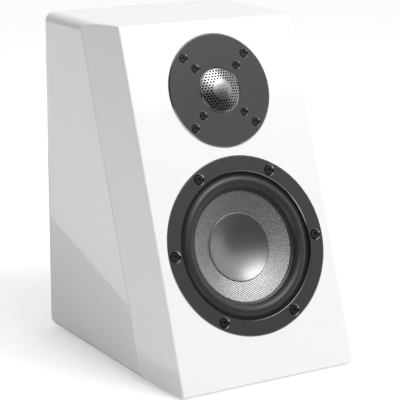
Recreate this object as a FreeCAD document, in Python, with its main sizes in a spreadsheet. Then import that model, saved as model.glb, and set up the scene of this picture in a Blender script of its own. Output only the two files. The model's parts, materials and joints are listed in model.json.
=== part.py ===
"""Two-way bookshelf speaker with a tilted front, as separate pieces, in millimetres.

The cabinet stands on its feet at Z = 0. X runs across it, Y from the front to the back and
Z up. The origin is the middle of the footprint. Each driver has its own frame: its origin is
on the sloping front at the driver's axis, its Z points out of the cabinet and its Y up the slope.
"""
import FreeCAD, Part
import math
import os
import Sketcher

DOC = FreeCAD.newDocument("bookshelf_speaker")
SHEET = DOC.addObject("Spreadsheet::Sheet", "sizes")
PARTS = []
FULL_TURN = 360.0


# ---------------------------------------------------------------- sizes and their formulas
class Size:
    """A number together with the spreadsheet formula that gives it."""

    def __init__(self, value, text):
        self.value = value
        self.text = text

    def __add__(self, other):
        return joined(self, "+", other)

    def __radd__(self, other):
        return joined(other, "+", self)

    def __sub__(self, other):
        return joined(self, "-", other)

    def __rsub__(self, other):
        return joined(other, "-", self)

    def __mul__(self, other):
        return joined(self, "*", other)

    def __rmul__(self, other):
        return joined(other, "*", self)

    def __truediv__(self, other):
        return joined(self, "/", other)

    def __neg__(self):
        return joined(0, "-", self)


def as_size(number):
    """A plain number as a Size, so that formulas can mix both."""
    if isinstance(number, Size):
        return number
    return Size(float(number), "({:.9g})".format(number))


def joined(first, sign, second):
    """The sum, difference, product or quotient of two sizes."""
    left = as_size(first)
    right = as_size(second)
    text = "({} {} {})".format(left.text, sign, right.text)
    if sign == "+":
        return Size(left.value + right.value, text)
    if sign == "-":
        return Size(left.value - right.value, text)
    if sign == "*":
        return Size(left.value * right.value, text)
    return Size(left.value / right.value, text)


def sine(angle):
    return Size(math.sin(math.radians(angle.value)), "sin({})".format(angle.text))


def cosine(angle):
    return Size(math.cos(math.radians(angle.value)), "cos({})".format(angle.text))


def root(number):
    return Size(math.sqrt(number.value), "sqrt({})".format(number.text))


def size(alias, value):
    """Write one named size to the sheet, as a number or as a formula of other sizes."""
    size.row += 1
    cell = "B{}".format(size.row)
    SHEET.set("A{}".format(size.row), alias)
    if isinstance(value, Size):
        SHEET.set(cell, "=" + value.text.replace("sizes.", ""))
    else:
        SHEET.set(cell, "{:.9g}".format(value))
    SHEET.setAlias(cell, alias)
    return Size(as_size(value).value, "sizes.{}".format(alias))


size.row = 0

# Cabinet
cab_width = size("cab_width", 220)
front_narrow = size("front_narrow", 11)
front_width = size("front_width", cab_width - 2 * front_narrow)
cab_height = size("cab_height", 336)
cab_depth = size("cab_depth", 266)
front_tilt = size("front_tilt", 20)
edge_round = size("edge_round", 10)
front_round = size("front_round", 2)
crease_back = size("crease_back", 56.4)
crease_step = size("crease_step", 0.9)
foot_height = size("foot_height", 2)
foot_radius = size("foot_radius", 8)
foot_inset = size("foot_inset", 28)
wall = size("wall", 15)
baffle_thick = size("baffle_thick", 22)
brace_thick = size("brace_thick", 12)
brace_rim = size("brace_rim", 38)
brace_gap = size("brace_gap", 8)
pad_thick = size("pad_thick", 12)
pad_gap = size("pad_gap", 8)
overrun = size("overrun", 60)

# Clearances
driver_gap = size("driver_gap", 0.3)
turn_gap = size("turn_gap", 0.06)
glue_gap = size("glue_gap", 0.3)

# Grille magnets behind the front
magnet_radius = size("magnet_radius", 5)
magnet_thick = size("magnet_thick", 3)
magnet_skin = size("magnet_skin", 3)
magnet_inset = size("magnet_inset", 15)
magnet_rise = size("magnet_rise", 24)

# Woofer
woofer_up = size("woofer_up", 133)
flange_radius = size("flange_radius", 88.5)
flange_thick = size("flange_thick", 5)
flange_bevel = size("flange_bevel", 0.6)
woofer_gasket_thick = size("woofer_gasket_thick", 1)
cutout_radius = size("cutout_radius", 76)
basket_wall = size("basket_wall", 4.5)
basket_gap = size("basket_gap", 0.5)
basket_shoulder = size("basket_shoulder", 3)
basket_ring_radius = size("basket_ring_radius", 50.5)
basket_ring_bore = size("basket_ring_bore", 36)
basket_depth = size("basket_depth", 44)
spider_depth = size("spider_depth", 34)
window_low = size("window_low", 19)
window_high = size("window_high", 30)
window_margin = size("window_margin", 3)
lug_width = size("lug_width", 22)
lug_reach = size("lug_reach", 12)
lug_thick = size("lug_thick", 3)
moat_radius = size("moat_radius", 73)
moat_depth = size("moat_depth", 3)
ledge_radius = size("ledge_radius", 68)
surround_thick = size("surround_thick", 0.8)
surround_outer = size("surround_outer", 72.6)
roll_outer = size("roll_outer", 69.5)
roll_inner = size("roll_inner", 57)
roll_drop = size("roll_drop", 4)
roll_sag = size("roll_sag", 4.4)
lip_radius = size("lip_radius", 54.5)
lip_drop = size("lip_drop", 0.8)
cone_edge = size("cone_edge", 57.3)
cone_thick = size("cone_thick", 0.8)
cone_mid_depth = size("cone_mid_depth", 16)
cone_neck_depth = size("cone_neck_depth", 23.2)
cap_radius = size("cap_radius", 33)
cap_sag = size("cap_sag", 6.3)
cap_thick = size("cap_thick", 0.8)
cap_foot = size("cap_foot", 1.2)
former_radius = size("former_radius", 16.5)
former_wall = size("former_wall", 0.5)
former_end = size("former_end", 57)
coil_thick = size("coil_thick", 1)
coil_length = size("coil_length", 16)
spider_neck = size("spider_neck", 2.5)
spider_flat = size("spider_flat", 1)
spider_sag = size("spider_sag", 1.2)
coil_gap = size("coil_gap", 0.5)
gap_width = size("gap_width", 0.6)
top_plate_radius = size("top_plate_radius", 45)
top_plate_thick = size("top_plate_thick", 6)
ferrite_radius = size("ferrite_radius", 43)
ferrite_bore = size("ferrite_bore", 21)
ferrite_thick = size("ferrite_thick", 16)
yoke_thick = size("yoke_thick", 5)
vent_radius = size("vent_radius", 4)
screw_circle = size("screw_circle", 80.7)
head_radius = size("head_radius", 4.2)
head_height = size("head_height", 3)
head_sink = size("head_sink", 0.2)
head_well = size("head_well", 5)
well_bevel = size("well_bevel", 0.8)
socket_radius = size("socket_radius", 1.9)
socket_share = size("socket_share", 0.6)
shank_radius = size("shank_radius", 2.1)
shank_hole = size("shank_hole", 2.4)
insert_radius = size("insert_radius", 4)
insert_length = size("insert_length", 10)
pilot_skin = size("pilot_skin", 2)
blade_thick = size("blade_thick", 0.8)
blade_length = size("blade_length", 10)
woofer_blade_width = size("woofer_blade_width", 4.8)
woofer_blade_side = size("woofer_blade_side", 6)
woofer_blade_out = size("woofer_blade_out", 7.8)

# Tweeter
tweeter_up = size("tweeter_up", 287)
plate_radius = size("plate_radius", 56.8)
plate_proud = size("plate_proud", 0.8)
plate_sunk = size("plate_sunk", 3.2)
plate_bevel = size("plate_bevel", 0.9)
tweeter_gasket_thick = size("tweeter_gasket_thick", 0.8)
tweeter_cutout = size("tweeter_cutout", 44)
boss_radius = size("boss_radius", 40)
boss_bore = size("boss_bore", 24)
boss_height = size("boss_height", 2)
opening_radius = size("opening_radius", 22.5)
opening_bevel = size("opening_bevel", 0.6)
opening_ledge = size("opening_ledge", 20.5)
ledge_depth = size("ledge_depth", 0.4)
grille_fit = size("grille_fit", 0.2)
grille_rise = size("grille_rise", 5.5)
grille_rim = size("grille_rim", 0.7)
grille_thick = size("grille_thick", 0.8)
diffuser_radius = size("diffuser_radius", 10.6)
diffuser_seat = size("diffuser_seat", 10)
diffuser_thick = size("diffuser_thick", 0.6)
diffuser_hole = size("diffuser_hole", 0.6)
diffuser_ring = size("diffuser_ring", 4)
dome_radius = size("dome_radius", 12.5)
dome_rise = size("dome_rise", 4)
dome_thick = size("dome_thick", 0.6)
dome_rim = size("dome_rim", 4.4)
tweeter_roll_inner = size("tweeter_roll_inner", 13)
tweeter_roll_outer = size("tweeter_roll_outer", 18.2)
tweeter_roll_sag = size("tweeter_roll_sag", 1.6)
tweeter_lip = size("tweeter_lip", 20)
tweeter_lip_thick = size("tweeter_lip_thick", 0.5)
tweeter_coil_outer = size("tweeter_coil_outer", 12.7)
tweeter_coil_wall = size("tweeter_coil_wall", 0.6)
tweeter_coil_length = size("tweeter_coil_length", 4.5)
tweeter_coil_gap = size("tweeter_coil_gap", 0.5)
tweeter_plate_thick = size("tweeter_plate_thick", 4)
tweeter_magnet_radius = size("tweeter_magnet_radius", 34)
tweeter_magnet_bore = size("tweeter_magnet_bore", 20)
tweeter_magnet_thick = size("tweeter_magnet_thick", 10)
tweeter_yoke_thick = size("tweeter_yoke_thick", 4)
chamber_radius = size("chamber_radius", 31)
chamber_length = size("chamber_length", 18)
chamber_wall = size("chamber_wall", 1.5)
chamber_boss = size("chamber_boss", 3)
outer_screw_circle = size("outer_screw_circle", 49)
outer_head_radius = size("outer_head_radius", 3.7)
outer_well = size("outer_well", 4.3)
outer_shank = size("outer_shank", 1.75)
outer_screw_length = size("outer_screw_length", 13)
inner_screw_circle = size("inner_screw_circle", 33.2)
inner_head_radius = size("inner_head_radius", 3.4)
inner_well = size("inner_well", 4)
inner_shank = size("inner_shank", 1.5)
small_head_height = size("small_head_height", 2.2)
small_well_depth = size("small_well_depth", 2.4)
small_well_bevel = size("small_well_bevel", 0.5)
small_shank_gap = size("small_shank_gap", 0.25)
tweeter_blade_width = size("tweeter_blade_width", 2.8)
tweeter_blade_side = size("tweeter_blade_side", 5)

# Rear port
port_up = size("port_up", 250)
port_bore = size("port_bore", 24)
port_wall = size("port_wall", 2.5)
port_flange = size("port_flange", 38)
port_flange_thick = size("port_flange_thick", 3)
port_mouth = size("port_mouth", 11)
port_shoulder = size("port_shoulder", 4.5)
port_length = size("port_length", 88)
port_flare = size("port_flare", 31)
port_flare_length = size("port_flare_length", 12)

# Bracket insert in the back
bracket_drop = size("bracket_drop", 30)
bracket_bore = size("bracket_bore", 3)
bracket_radius = size("bracket_radius", 4.5)
bracket_length = size("bracket_length", 12)

# Terminal cup and binding posts
cup_up = size("cup_up", 74)
cup_width = size("cup_width", 84)
cup_height = size("cup_height", 70)
cup_flange = size("cup_flange", 3)
cup_inner_width = size("cup_inner_width", 62)
cup_inner_height = size("cup_inner_height", 48)
cup_depth = size("cup_depth", 20)
cup_wall = size("cup_wall", 2)
cup_gasket_thick = size("cup_gasket_thick", 1)
cup_fit = size("cup_fit", 0.3)
cup_screw_inset = size("cup_screw_inset", 4.5)
cup_head_radius = size("cup_head_radius", 3.1)
cup_head_height = size("cup_head_height", 1.5)
cup_well = size("cup_well", 3.4)
cup_well_depth = size("cup_well_depth", 1.6)
cup_shank = size("cup_shank", 1.5)
cup_screw_length = size("cup_screw_length", 12)
post_side = size("post_side", 15)
stud_radius = size("stud_radius", 3)
stud_front = size("stud_front", 3.5)
stud_tail = size("stud_tail", 12)
plug_bore = size("plug_bore", 2.05)
plug_depth = size("plug_depth", 15)
collar_radius = size("collar_radius", 7.5)
collar_thick = size("collar_thick", 2.5)
washer_radius = size("washer_radius", 6.5)
washer_thick = size("washer_thick", 1.2)
washer_gap = size("washer_gap", 0.1)
knob_radius = size("knob_radius", 7.2)
knob_end = size("knob_end", 3)
knob_bevel = size("knob_bevel", 0.8)
knob_groove = size("knob_groove", 0.7)
nut_flat = size("nut_flat", 8)
nut_thick = size("nut_thick", 3)

# Crossover
board_length = size("board_length", 112)
board_width = size("board_width", 100)
board_thick = size("board_thick", 1.6)
board_middle = size("board_middle", 20)
board_inset = size("board_inset", 6)
standoff_height = size("standoff_height", 6)
standoff_radius = size("standoff_radius", 3.5)
lead_thick = size("lead_thick", 2)
coil_bore = size("coil_bore", 8)
coil_outer = size("coil_outer", 19)
coil_tall = size("coil_tall", 20)
coil_side = size("coil_side", 26)
coil_ahead = size("coil_ahead", 10)
small_coil_bore = size("small_coil_bore", 6)
small_coil_outer = size("small_coil_outer", 12)
small_coil_tall = size("small_coil_tall", 14)
small_coil_side = size("small_coil_side", 30)
small_coil_ahead = size("small_coil_ahead", 20)
capacitor_radius = size("capacitor_radius", 7)
capacitor_length = size("capacitor_length", 26)
capacitor_side = size("capacitor_side", 32)
capacitor_margin = size("capacitor_margin", 5)
small_capacitor_radius = size("small_capacitor_radius", 4.5)
small_capacitor_length = size("small_capacitor_length", 20)
small_capacitor_ahead = size("small_capacitor_ahead", 16)
resistor_width = size("resistor_width", 9)
resistor_length = size("resistor_length", 20)
resistor_side = size("resistor_side", 4)
resistor_ahead = size("resistor_ahead", 18)
resistor_far = size("resistor_far", 43)

# Counts, and the turn of the tweeter's screws
WOOFER_SCREW_COUNT = 6
TWEETER_SCREW_COUNT = 4
TWEETER_SCREW_START = 45
DIFFUSER_HOLE_COUNT = 6
KNOB_GROOVE_COUNT = 16
SPIDER_WAVES = 6

# Tolerance for faces and edges that lie in one plane, and the share of a run that a bend takes
TOUCH = 0.01
BEND_SHARE = 0.45

# ---------------------------------------------------------------- places worked out from sizes
front_y = -cab_depth / 2
back_y = cab_depth / 2
top_z = foot_height + cab_height
inner_side = cab_width / 2 - wall
floor_z = foot_height + wall
ceiling_z = top_z - wall
inner_back = back_y - wall
slope_length = cab_height / cosine(front_tilt)
tilt_turn = 90 - front_tilt
BACK_TURN = as_size(-90)
NO_TURN = as_size(0)


class Spot:
    """A frame: its origin, and its turn about the X axis in degrees."""

    def __init__(self, across, back, up, turn):
        self.across = across
        self.back = back
        self.up = up
        self.turn = turn

    def world(self, x, y, z):
        """A point given in this frame, as numbers in the cabinet's frame."""
        angle = math.radians(self.turn.value)
        y_value = as_size(y).value
        z_value = as_size(z).value
        return FreeCAD.Vector(
            self.across.value + as_size(x).value,
            self.back.value + y_value * math.cos(angle) - z_value * math.sin(angle),
            self.up.value + y_value * math.sin(angle) + z_value * math.cos(angle),
        )


def on_slope(distance):
    """The frame of something on the front, this far up the slope."""
    back = front_y + distance * sine(front_tilt)
    up = foot_height + distance * cosine(front_tilt)
    return Spot(as_size(0), back, up, tilt_turn)


WORLD = Spot(as_size(0), as_size(0), as_size(0), NO_TURN)
FRONT = on_slope(as_size(0))
WOOFER = on_slope(woofer_up)
TWEETER = on_slope(tweeter_up)
PORT = Spot(as_size(0), back_y, foot_height + port_up, BACK_TURN)
CUP = Spot(as_size(0), back_y, foot_height + cup_up, BACK_TURN)
BRACKET = Spot(as_size(0), back_y, top_z - bracket_drop, BACK_TURN)


# ---------------------------------------------------------------- drawing helpers
def bind(item, path, formula):
    """Tie a property to the sheet."""
    item.setExpression(path, as_size(formula).text)


def seat(item, spot):
    """Tie a piece's Placement to a frame."""
    turn = FreeCAD.Rotation(FreeCAD.Vector(1, 0, 0), spot.turn.value)
    item.Placement = FreeCAD.Placement(spot.world(0, 0, 0), turn)
    bind(item, "Placement.Base.x", spot.across)
    bind(item, "Placement.Base.y", spot.back)
    bind(item, "Placement.Base.z", spot.up)
    bind(item, "Placement.Rotation.Angle", spot.turn)


def keep(item, label):
    """Name a finished piece, which becomes one exported part."""
    item.Label = label
    PARTS.append(item)
    return item


def new_body(name, spot):
    body = DOC.addObject("PartDesign::Body", name)
    seat(body, spot)
    return body


def origin_item(body, role):
    return [item for item in body.Origin.OriginFeatures if item.Role == role][0]


def sketch_on(body, role, lift=0):
    """A sketch on one of the body's own planes, raised along its normal."""
    sketch = body.newObject("Sketcher::SketchObject", body.Name + "_sketch")
    sketch.AttachmentSupport = [(origin_item(body, role), "")]
    sketch.MapMode = "FlatFace"
    bind(sketch, ".AttachmentOffset.Base.z", lift)
    return sketch


def fix_point(sketch, edge, vertex, across, up):
    """Tie one point of a sketch edge to the sheet."""
    for kind, place in (("DistanceX", across), ("DistanceY", up)):
        value = as_size(place)
        number = sketch.addConstraint(Sketcher.Constraint(kind, -1, 1, edge, vertex, value.value))
        bind(sketch, "Constraints[{}]".format(number), value)


def fix_radius(sketch, edge, radius):
    value = as_size(radius)
    number = sketch.addConstraint(Sketcher.Constraint("Radius", edge, value.value))
    bind(sketch, "Constraints[{}]".format(number), value)


def arc_edge(start, end, radius, turn):
    """The short arc from start to end; turn is 1 anticlockwise and -1 clockwise."""
    chord = end.sub(start)
    rise = math.sqrt(radius * radius - chord.Length * chord.Length / 4)
    side = FreeCAD.Vector(-chord.y, chord.x, 0).normalize() * (rise * turn)
    centre = (start + end) * 0.5 + side
    first, last = (start, end) if turn > 0 else (end, start)
    angles = [math.atan2(point.y - centre.y, point.x - centre.x) for point in (first, last)]
    if angles[1] < angles[0]:
        angles[1] += 2 * math.pi
    circle = Part.Circle(centre, FreeCAD.Vector(0, 0, 1), radius)
    return Part.ArcOfCircle(circle, angles[0], angles[1])


def outline(sketch, corners):
    """A closed outline. A corner is (across, up), or (across, up, radius, turn) after an arc."""
    base = sketch.GeometryCount
    points = [FreeCAD.Vector(as_size(c[0]).value, as_size(c[1]).value, 0) for c in corners]
    count = len(corners)
    ends = []
    for index in range(count):
        following = (index + 1) % count
        bend = corners[following][2:]
        if bend:
            radius, turn = as_size(bend[0]), bend[1]
            edge = sketch.addGeometry(
                arc_edge(points[index], points[following], radius.value, turn), False)
            fix_radius(sketch, edge, radius)
            ends.append((1, 2) if turn > 0 else (2, 1))
        else:
            sketch.addGeometry(Part.LineSegment(points[index], points[following]), False)
            ends.append((1, 2))
    for index in range(count):
        following = (index + 1) % count
        sketch.addConstraint(Sketcher.Constraint(
            "Coincident", base + index, ends[index][1], base + following, ends[following][0]))
    for index, corner in enumerate(corners):
        fix_point(sketch, base + index, ends[index][0], corner[0], corner[1])


def rectangle(sketch, left, right, low, high):
    outline(sketch, [(left, low), (right, low), (right, high), (left, high)])


def centred(sketch, width, height):
    rectangle(sketch, -width / 2, width / 2, -height / 2, height / 2)


def ring_points(circle_radius, count, start=0.0):
    """Points spaced evenly on a circle, the first one at the start angle."""
    points = []
    for index in range(count):
        angle = math.radians(start + index * FULL_TURN / count)
        points.append((circle_radius * math.cos(angle), circle_radius * math.sin(angle)))
    return points


def tweeter_points(circle_radius):
    """Where the tweeter's screws stand on one of their two circles."""
    return ring_points(circle_radius, TWEETER_SCREW_COUNT, TWEETER_SCREW_START)


def circles(sketch, points, radius):
    """A circle of one radius at each point."""
    for across, up in points:
        centre = FreeCAD.Vector(as_size(across).value, as_size(up).value, 0)
        circle = Part.Circle(centre, FreeCAD.Vector(0, 0, 1), as_size(radius).value)
        edge = sketch.addGeometry(circle, False)
        fix_point(sketch, edge, 3, across, up)
        fix_radius(sketch, edge, radius)


def polygon(sketch, points, flat, sides):
    """A regular polygon at each point, from its width across the flats."""
    corner = flat / (2 * math.cos(math.pi / sides))
    for across, up in points:
        outline(sketch, [(across + c[0], up + c[1]) for c in ring_points(corner, sides)])


def pad(body, sketch, length):
    feature = body.newObject("PartDesign::Pad", body.Name + "_pad")
    feature.Profile = sketch
    feature.Length = as_size(length).value
    bind(feature, "Length", length)
    return feature


def pocket(body, sketch, depth, draft=0):
    """Cut downwards from the sketch; a negative draft narrows the cut as it goes in."""
    feature = body.newObject("PartDesign::Pocket", body.Name + "_pocket")
    feature.Profile = sketch
    feature.Length = as_size(depth).value
    bind(feature, "Length", depth)
    feature.TaperAngle = draft
    return feature


def lathe(name, spot, corners):
    """A body turned about its Z axis from an outline of (radius, height) corners."""
    body = new_body(name, spot)
    sketch = sketch_on(body, "XZ_Plane")
    outline(sketch, corners)
    feature = body.newObject("PartDesign::Revolution", name + "_turn")
    feature.Profile = sketch
    feature.ReferenceAxis = (sketch, ["V_Axis"])
    feature.Angle = FULL_TURN
    return body


def ring(name, spot, inner, outer, low, high):
    """A plain ring, or a disc when its inner radius is zero."""
    return lathe(name, spot, [(inner, low), (outer, low), (outer, high), (inner, high)])


def drill(body, points, radius, top, depth, draft=0):
    """Round holes from a height downwards."""
    sketch = sketch_on(body, "XY_Plane", top)
    circles(sketch, points, radius)
    return pocket(body, sketch, depth, draft)


def posts(body, points, radius, low, length):
    """Round pegs from a height upwards."""
    sketch = sketch_on(body, "XY_Plane", low)
    circles(sketch, points, radius)
    return pad(body, sketch, length)


def screw_wells(body, points, well, bevel, top, well_depth, hole, through):
    """Counterbored holes with a bevelled mouth."""
    drill(body, points, well + bevel, top, bevel, -45)
    drill(body, points, well, top, well_depth)
    drill(body, points, hole, top, through)


def screws(name, spot, points, head, head_high, seat_height, shank, length):
    """A group of socket-head screws whose heads sit at seat_height."""
    body = new_body(name, spot)
    posts(body, points, head, seat_height, head_high)
    posts(body, points, shank, seat_height - length, length)
    drill(body, points, socket_radius, seat_height + head_high, head_high * socket_share)
    return keep(body, name)


def block(name, x, y, z):
    """A box from pairs of lowest and highest values along each axis."""
    item = DOC.addObject("Part::Box", name)
    for side, (low, high) in (("Length", x), ("Width", y), ("Height", z)):
        bind(item, side, as_size(high) - low)
    for axis, (low, _) in (("x", x), ("y", y), ("z", z)):
        bind(item, "Placement.Base." + axis, low)
    return item


def combine(kind, name, base, tool):
    """A Part boolean of two objects: Cut, Fuse or Common."""
    item = DOC.addObject("Part::" + kind, name)
    item.Base = base
    item.Tool = tool
    return item


def slab(name, spot, across, up, out):
    """A box in a tilted frame, from pairs of lowest and highest values."""
    body = new_body(name, spot)
    sketch = sketch_on(body, "XY_Plane", out[0])
    rectangle(sketch, across[0], across[1], up[0], up[1])
    pad(body, sketch, as_size(out[1]) - out[0])
    return body


def edges_where(shape, wanted):
    """The numbers, from one, of the edges whose middle passes a test."""
    return [number for number, edge in enumerate(shape.Edges, 1) if wanted(edge)]


def rounded(name, base, edge_numbers, radius):
    """A Part fillet of one radius on some edges."""
    item = DOC.addObject("Part::Fillet", name)
    item.Base = base
    item.Edges = [(number, radius.value, radius.value) for number in edge_numbers]
    return item


# ---------------------------------------------------------------- cabinet
def cabinet_envelope():
    """The outer form: a rounded box, cut by the tilted front and a bevel along each side of it."""
    box_item = block("envelope_box", (-cab_width / 2, cab_width / 2),
                     (front_y - overrun, back_y), (foot_height, top_z))
    DOC.recompute()
    start = (front_y - overrun).value
    rear_edges = edges_where(box_item.Shape, lambda edge: edge.CenterOfMass.y > start + TOUCH)
    soft_box = rounded("envelope_rounded", box_item, rear_edges, edge_round)
    high = slope_length + overrun
    front_cut = slab("front_cut", FRONT, (-cab_width, cab_width), (-overrun, high), (0, cab_depth))
    shaped = combine("Cut", "envelope_fronted", soft_box, front_cut)
    half_front = front_width / 2
    half_back = cab_width / 2
    slant = (half_back - crease_step - half_front) / crease_back
    for side, name in ((1, "right"), (-1, "left")):
        cutter = new_body("bevel_cut_" + name, FRONT)
        sketch = sketch_on(cutter, "XZ_Plane")
        corners = [
            (half_front - slant * wall, wall),
            (half_back - crease_step, -crease_back),
            (half_back, -crease_back - crease_step),
            (half_back + wall, -crease_back - crease_step),
            (half_back + wall, wall),
        ]
        outline(sketch, [(corner[0] * side, corner[1]) for corner in corners])
        length = pad(cutter, sketch, 2 * high)
        length.SideType = "Symmetric"
        shaped = combine("Cut", "envelope_bevelled_" + name, shaped, cutter)
    return shaped


def driver_seat(name, spot, rebate, rebate_depth, hole):
    """The space that a driver takes out of the front: a shallow rebate and a through hole."""
    deep = -baffle_thick - wall
    return lathe(name, spot, [
        (0, deep), (hole, deep), (hole, -rebate_depth),
        (rebate, -rebate_depth), (rebate, wall), (0, wall),
    ])


def front_baffle(envelope, zone):
    """The sloping front: eased edges, two driver seats, screw holes and magnet pockets."""
    blank = combine("Common", "baffle_blank", envelope, zone)
    DOC.recompute()
    normal = FreeCAD.Vector(0, -math.cos(math.radians(front_tilt.value)),
                            math.sin(math.radians(front_tilt.value)))
    origin = FRONT.world(0, 0, 0)
    on_front = edges_where(blank.Shape, lambda edge: all(
        abs((vertex.Point - origin).dot(normal)) < TOUCH for vertex in edge.Vertexes))
    eased = rounded("baffle_eased", blank, on_front, front_round)
    woofer_seat = driver_seat("woofer_seat", WOOFER, flange_radius + driver_gap,
                              flange_thick + woofer_gasket_thick, cutout_radius)
    deepest = -flange_thick - woofer_gasket_thick - insert_length
    holes = ring_points(screw_circle, WOOFER_SCREW_COUNT)
    posts(woofer_seat, holes, insert_radius, deepest, insert_length)
    posts(woofer_seat, holes, shank_hole, -baffle_thick + pilot_skin,
          baffle_thick - pilot_skin - flange_thick - woofer_gasket_thick)
    tweeter_seat = driver_seat("tweeter_seat", TWEETER, plate_radius + driver_gap,
                               plate_sunk + tweeter_gasket_thick, tweeter_cutout)
    screw_end = plate_proud - small_well_depth - outer_screw_length
    posts(tweeter_seat, tweeter_points(outer_screw_circle), outer_shank,
          screw_end, outer_screw_length)
    magnets = new_body("magnet_pockets", FRONT)
    posts(magnets, magnet_points(), magnet_radius, -baffle_thick - wall,
          baffle_thick + wall - magnet_skin)
    result = eased
    for number, tool in enumerate((woofer_seat, tweeter_seat, magnets), 1):
        result = combine("Cut", "front_baffle_{}".format(number), result, tool)
    return keep(result, "front_baffle")


def magnet_points():
    """Where the grille magnets lie on the front, near its four corners."""
    side = front_width / 2 - magnet_inset
    return [(side * across, height) for across in (-1, 1)
            for height in (magnet_rise, slope_length - magnet_rise)]


def grille_magnets():
    body = new_body("grille_magnets", FRONT)
    posts(body, magnet_points(), magnet_radius, -magnet_skin - magnet_thick, magnet_thick)
    return keep(body, "grille_magnets")


def side_panel(name, rear, side):
    """One whole side, which carries the rounded edges."""
    reach = (inner_side * side, (inner_side + wall + overrun) * side)
    low, high = (reach if side > 0 else (reach[1], reach[0]))
    box_item = block(name + "_box", (low, high), (front_y - overrun, back_y + overrun),
                     (-overrun, top_z + overrun))
    return keep(combine("Common", name, rear, box_item), name)


def level_panel(name, rear, low, high):
    """The top or the bottom, between the sides."""
    box_item = block(name + "_box", (-inner_side, inner_side),
                     (front_y - overrun, back_y + overrun), (low, high))
    return keep(combine("Common", name, rear, box_item), name)


def back_panel(rear):
    """The back, between the other four, with its port, terminal and bracket holes."""
    box_item = block("back_panel_box", (-inner_side, inner_side), (inner_back, back_y + overrun),
                     (floor_z, ceiling_z))
    result = combine("Common", "back_panel_blank", rear, box_item)
    deep = -2 * wall
    outer = port_bore + port_wall
    port_hole = lathe("port_hole", PORT, [
        (0, deep), (outer, deep), (outer, -port_mouth),
        (outer + port_shoulder, -port_mouth), (outer + port_shoulder, -port_flange_thick),
        (port_flange, -port_flange_thick), (port_flange, wall), (0, wall),
    ])
    cup_hole = slab("cup_hole", CUP, (-cup_width / 2 - cup_fit, cup_width / 2 + cup_fit),
                    (-cup_height / 2 - cup_fit, cup_height / 2 + cup_fit),
                    (-cup_flange - cup_gasket_thick, wall))
    sketch = sketch_on(cup_hole, "XY_Plane", deep)
    centred(sketch, cup_inner_width + 2 * cup_wall + 2 * cup_fit,
            cup_inner_height + 2 * cup_wall + 2 * cup_fit)
    pad(cup_hole, sketch, 2 * wall)
    posts(cup_hole, cup_screw_points(), cup_shank, -cup_well_depth - cup_screw_length,
          cup_screw_length)
    bracket_hole = ring("bracket_hole", BRACKET, 0, bracket_radius, -bracket_length, wall)
    for number, tool in enumerate((port_hole, cup_hole, bracket_hole), 1):
        result = combine("Cut", "back_panel_{}".format(number), result, tool)
    return keep(result, "back_panel")


def window_brace(rear, brace_z):
    """A shelf with a window, which ties the four walls between the drivers."""
    solid = block("brace_box", (-inner_side, inner_side), (front_y, inner_back),
                  (brace_z, brace_z + brace_thick))
    opening = block("brace_window", (-inner_side + brace_rim, inner_side - brace_rim),
                    (front_y + cab_depth / 2 - brace_rim, inner_back - brace_rim),
                    (brace_z - overrun, brace_z + brace_thick + overrun))
    fitted = combine("Common", "brace_fitted", rear, solid)
    return keep(combine("Cut", "window_brace", fitted, opening), "window_brace")


def rubber_feet():
    """Four thin discs under the corners."""
    body = new_body("rubber_feet", WORLD)
    across = cab_width / 2 - foot_inset
    along = cab_depth / 2 - foot_inset
    corners = [(across * x, along * y) for x in (-1, 1) for y in (-1, 1)]
    posts(body, corners, foot_radius, 0, foot_height)
    return keep(body, "rubber_feet")


def damping_pads(brace_z):
    """Foam on the lower half of each side wall."""
    body = new_body("damping_pads", WORLD)
    sketch = sketch_on(body, "XY_Plane", floor_z + pad_gap)
    start = front_y + (brace_z - foot_height) * sine(front_tilt) / cosine(front_tilt)
    start = start + baffle_thick / cosine(front_tilt) + pad_gap
    for side in (-1, 1):
        outer = inner_side * side
        inner = (inner_side - pad_thick) * side
        left, right = (outer, inner) if side < 0 else (inner, outer)
        rectangle(sketch, left, right, start, inner_back - pad_gap)
    pad(body, sketch, brace_z - floor_z - 2 * pad_gap)
    return keep(body, "damping_pads")


def port_tube():
    """The rear reflex port: a flange with a rounded mouth and a tube that flares inside."""
    outer = port_bore + port_wall
    mouth = port_bore + port_mouth
    flare_start = -port_length + port_flare_length
    body = lathe("port_tube", PORT, [
        (mouth, 0, port_mouth, -1), (port_flange, 0), (port_flange, -port_flange_thick),
        (outer + port_shoulder, -port_flange_thick), (outer, -port_mouth),
        (outer, flare_start), (port_flare + port_wall, -port_length),
        (port_flare, -port_length), (port_bore, flare_start), (port_bore, -port_mouth),
    ])
    return keep(body, "port_tube")


def bracket_insert():
    """A threaded insert for a wall or stand bracket."""
    return keep(ring("bracket_insert", BRACKET, bracket_bore, bracket_radius,
                     -bracket_length, 0), "bracket_insert")


# ---------------------------------------------------------------- woofer
def bulge(start, end, sag):
    """The radius of an arc between two corners that rises by sag from its chord."""
    across = as_size(start[0]) - end[0]
    up = as_size(start[1]) - end[1]
    half_squared = (across * across + up * up) / 4
    return (half_squared + sag * sag) / (2 * sag)


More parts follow.
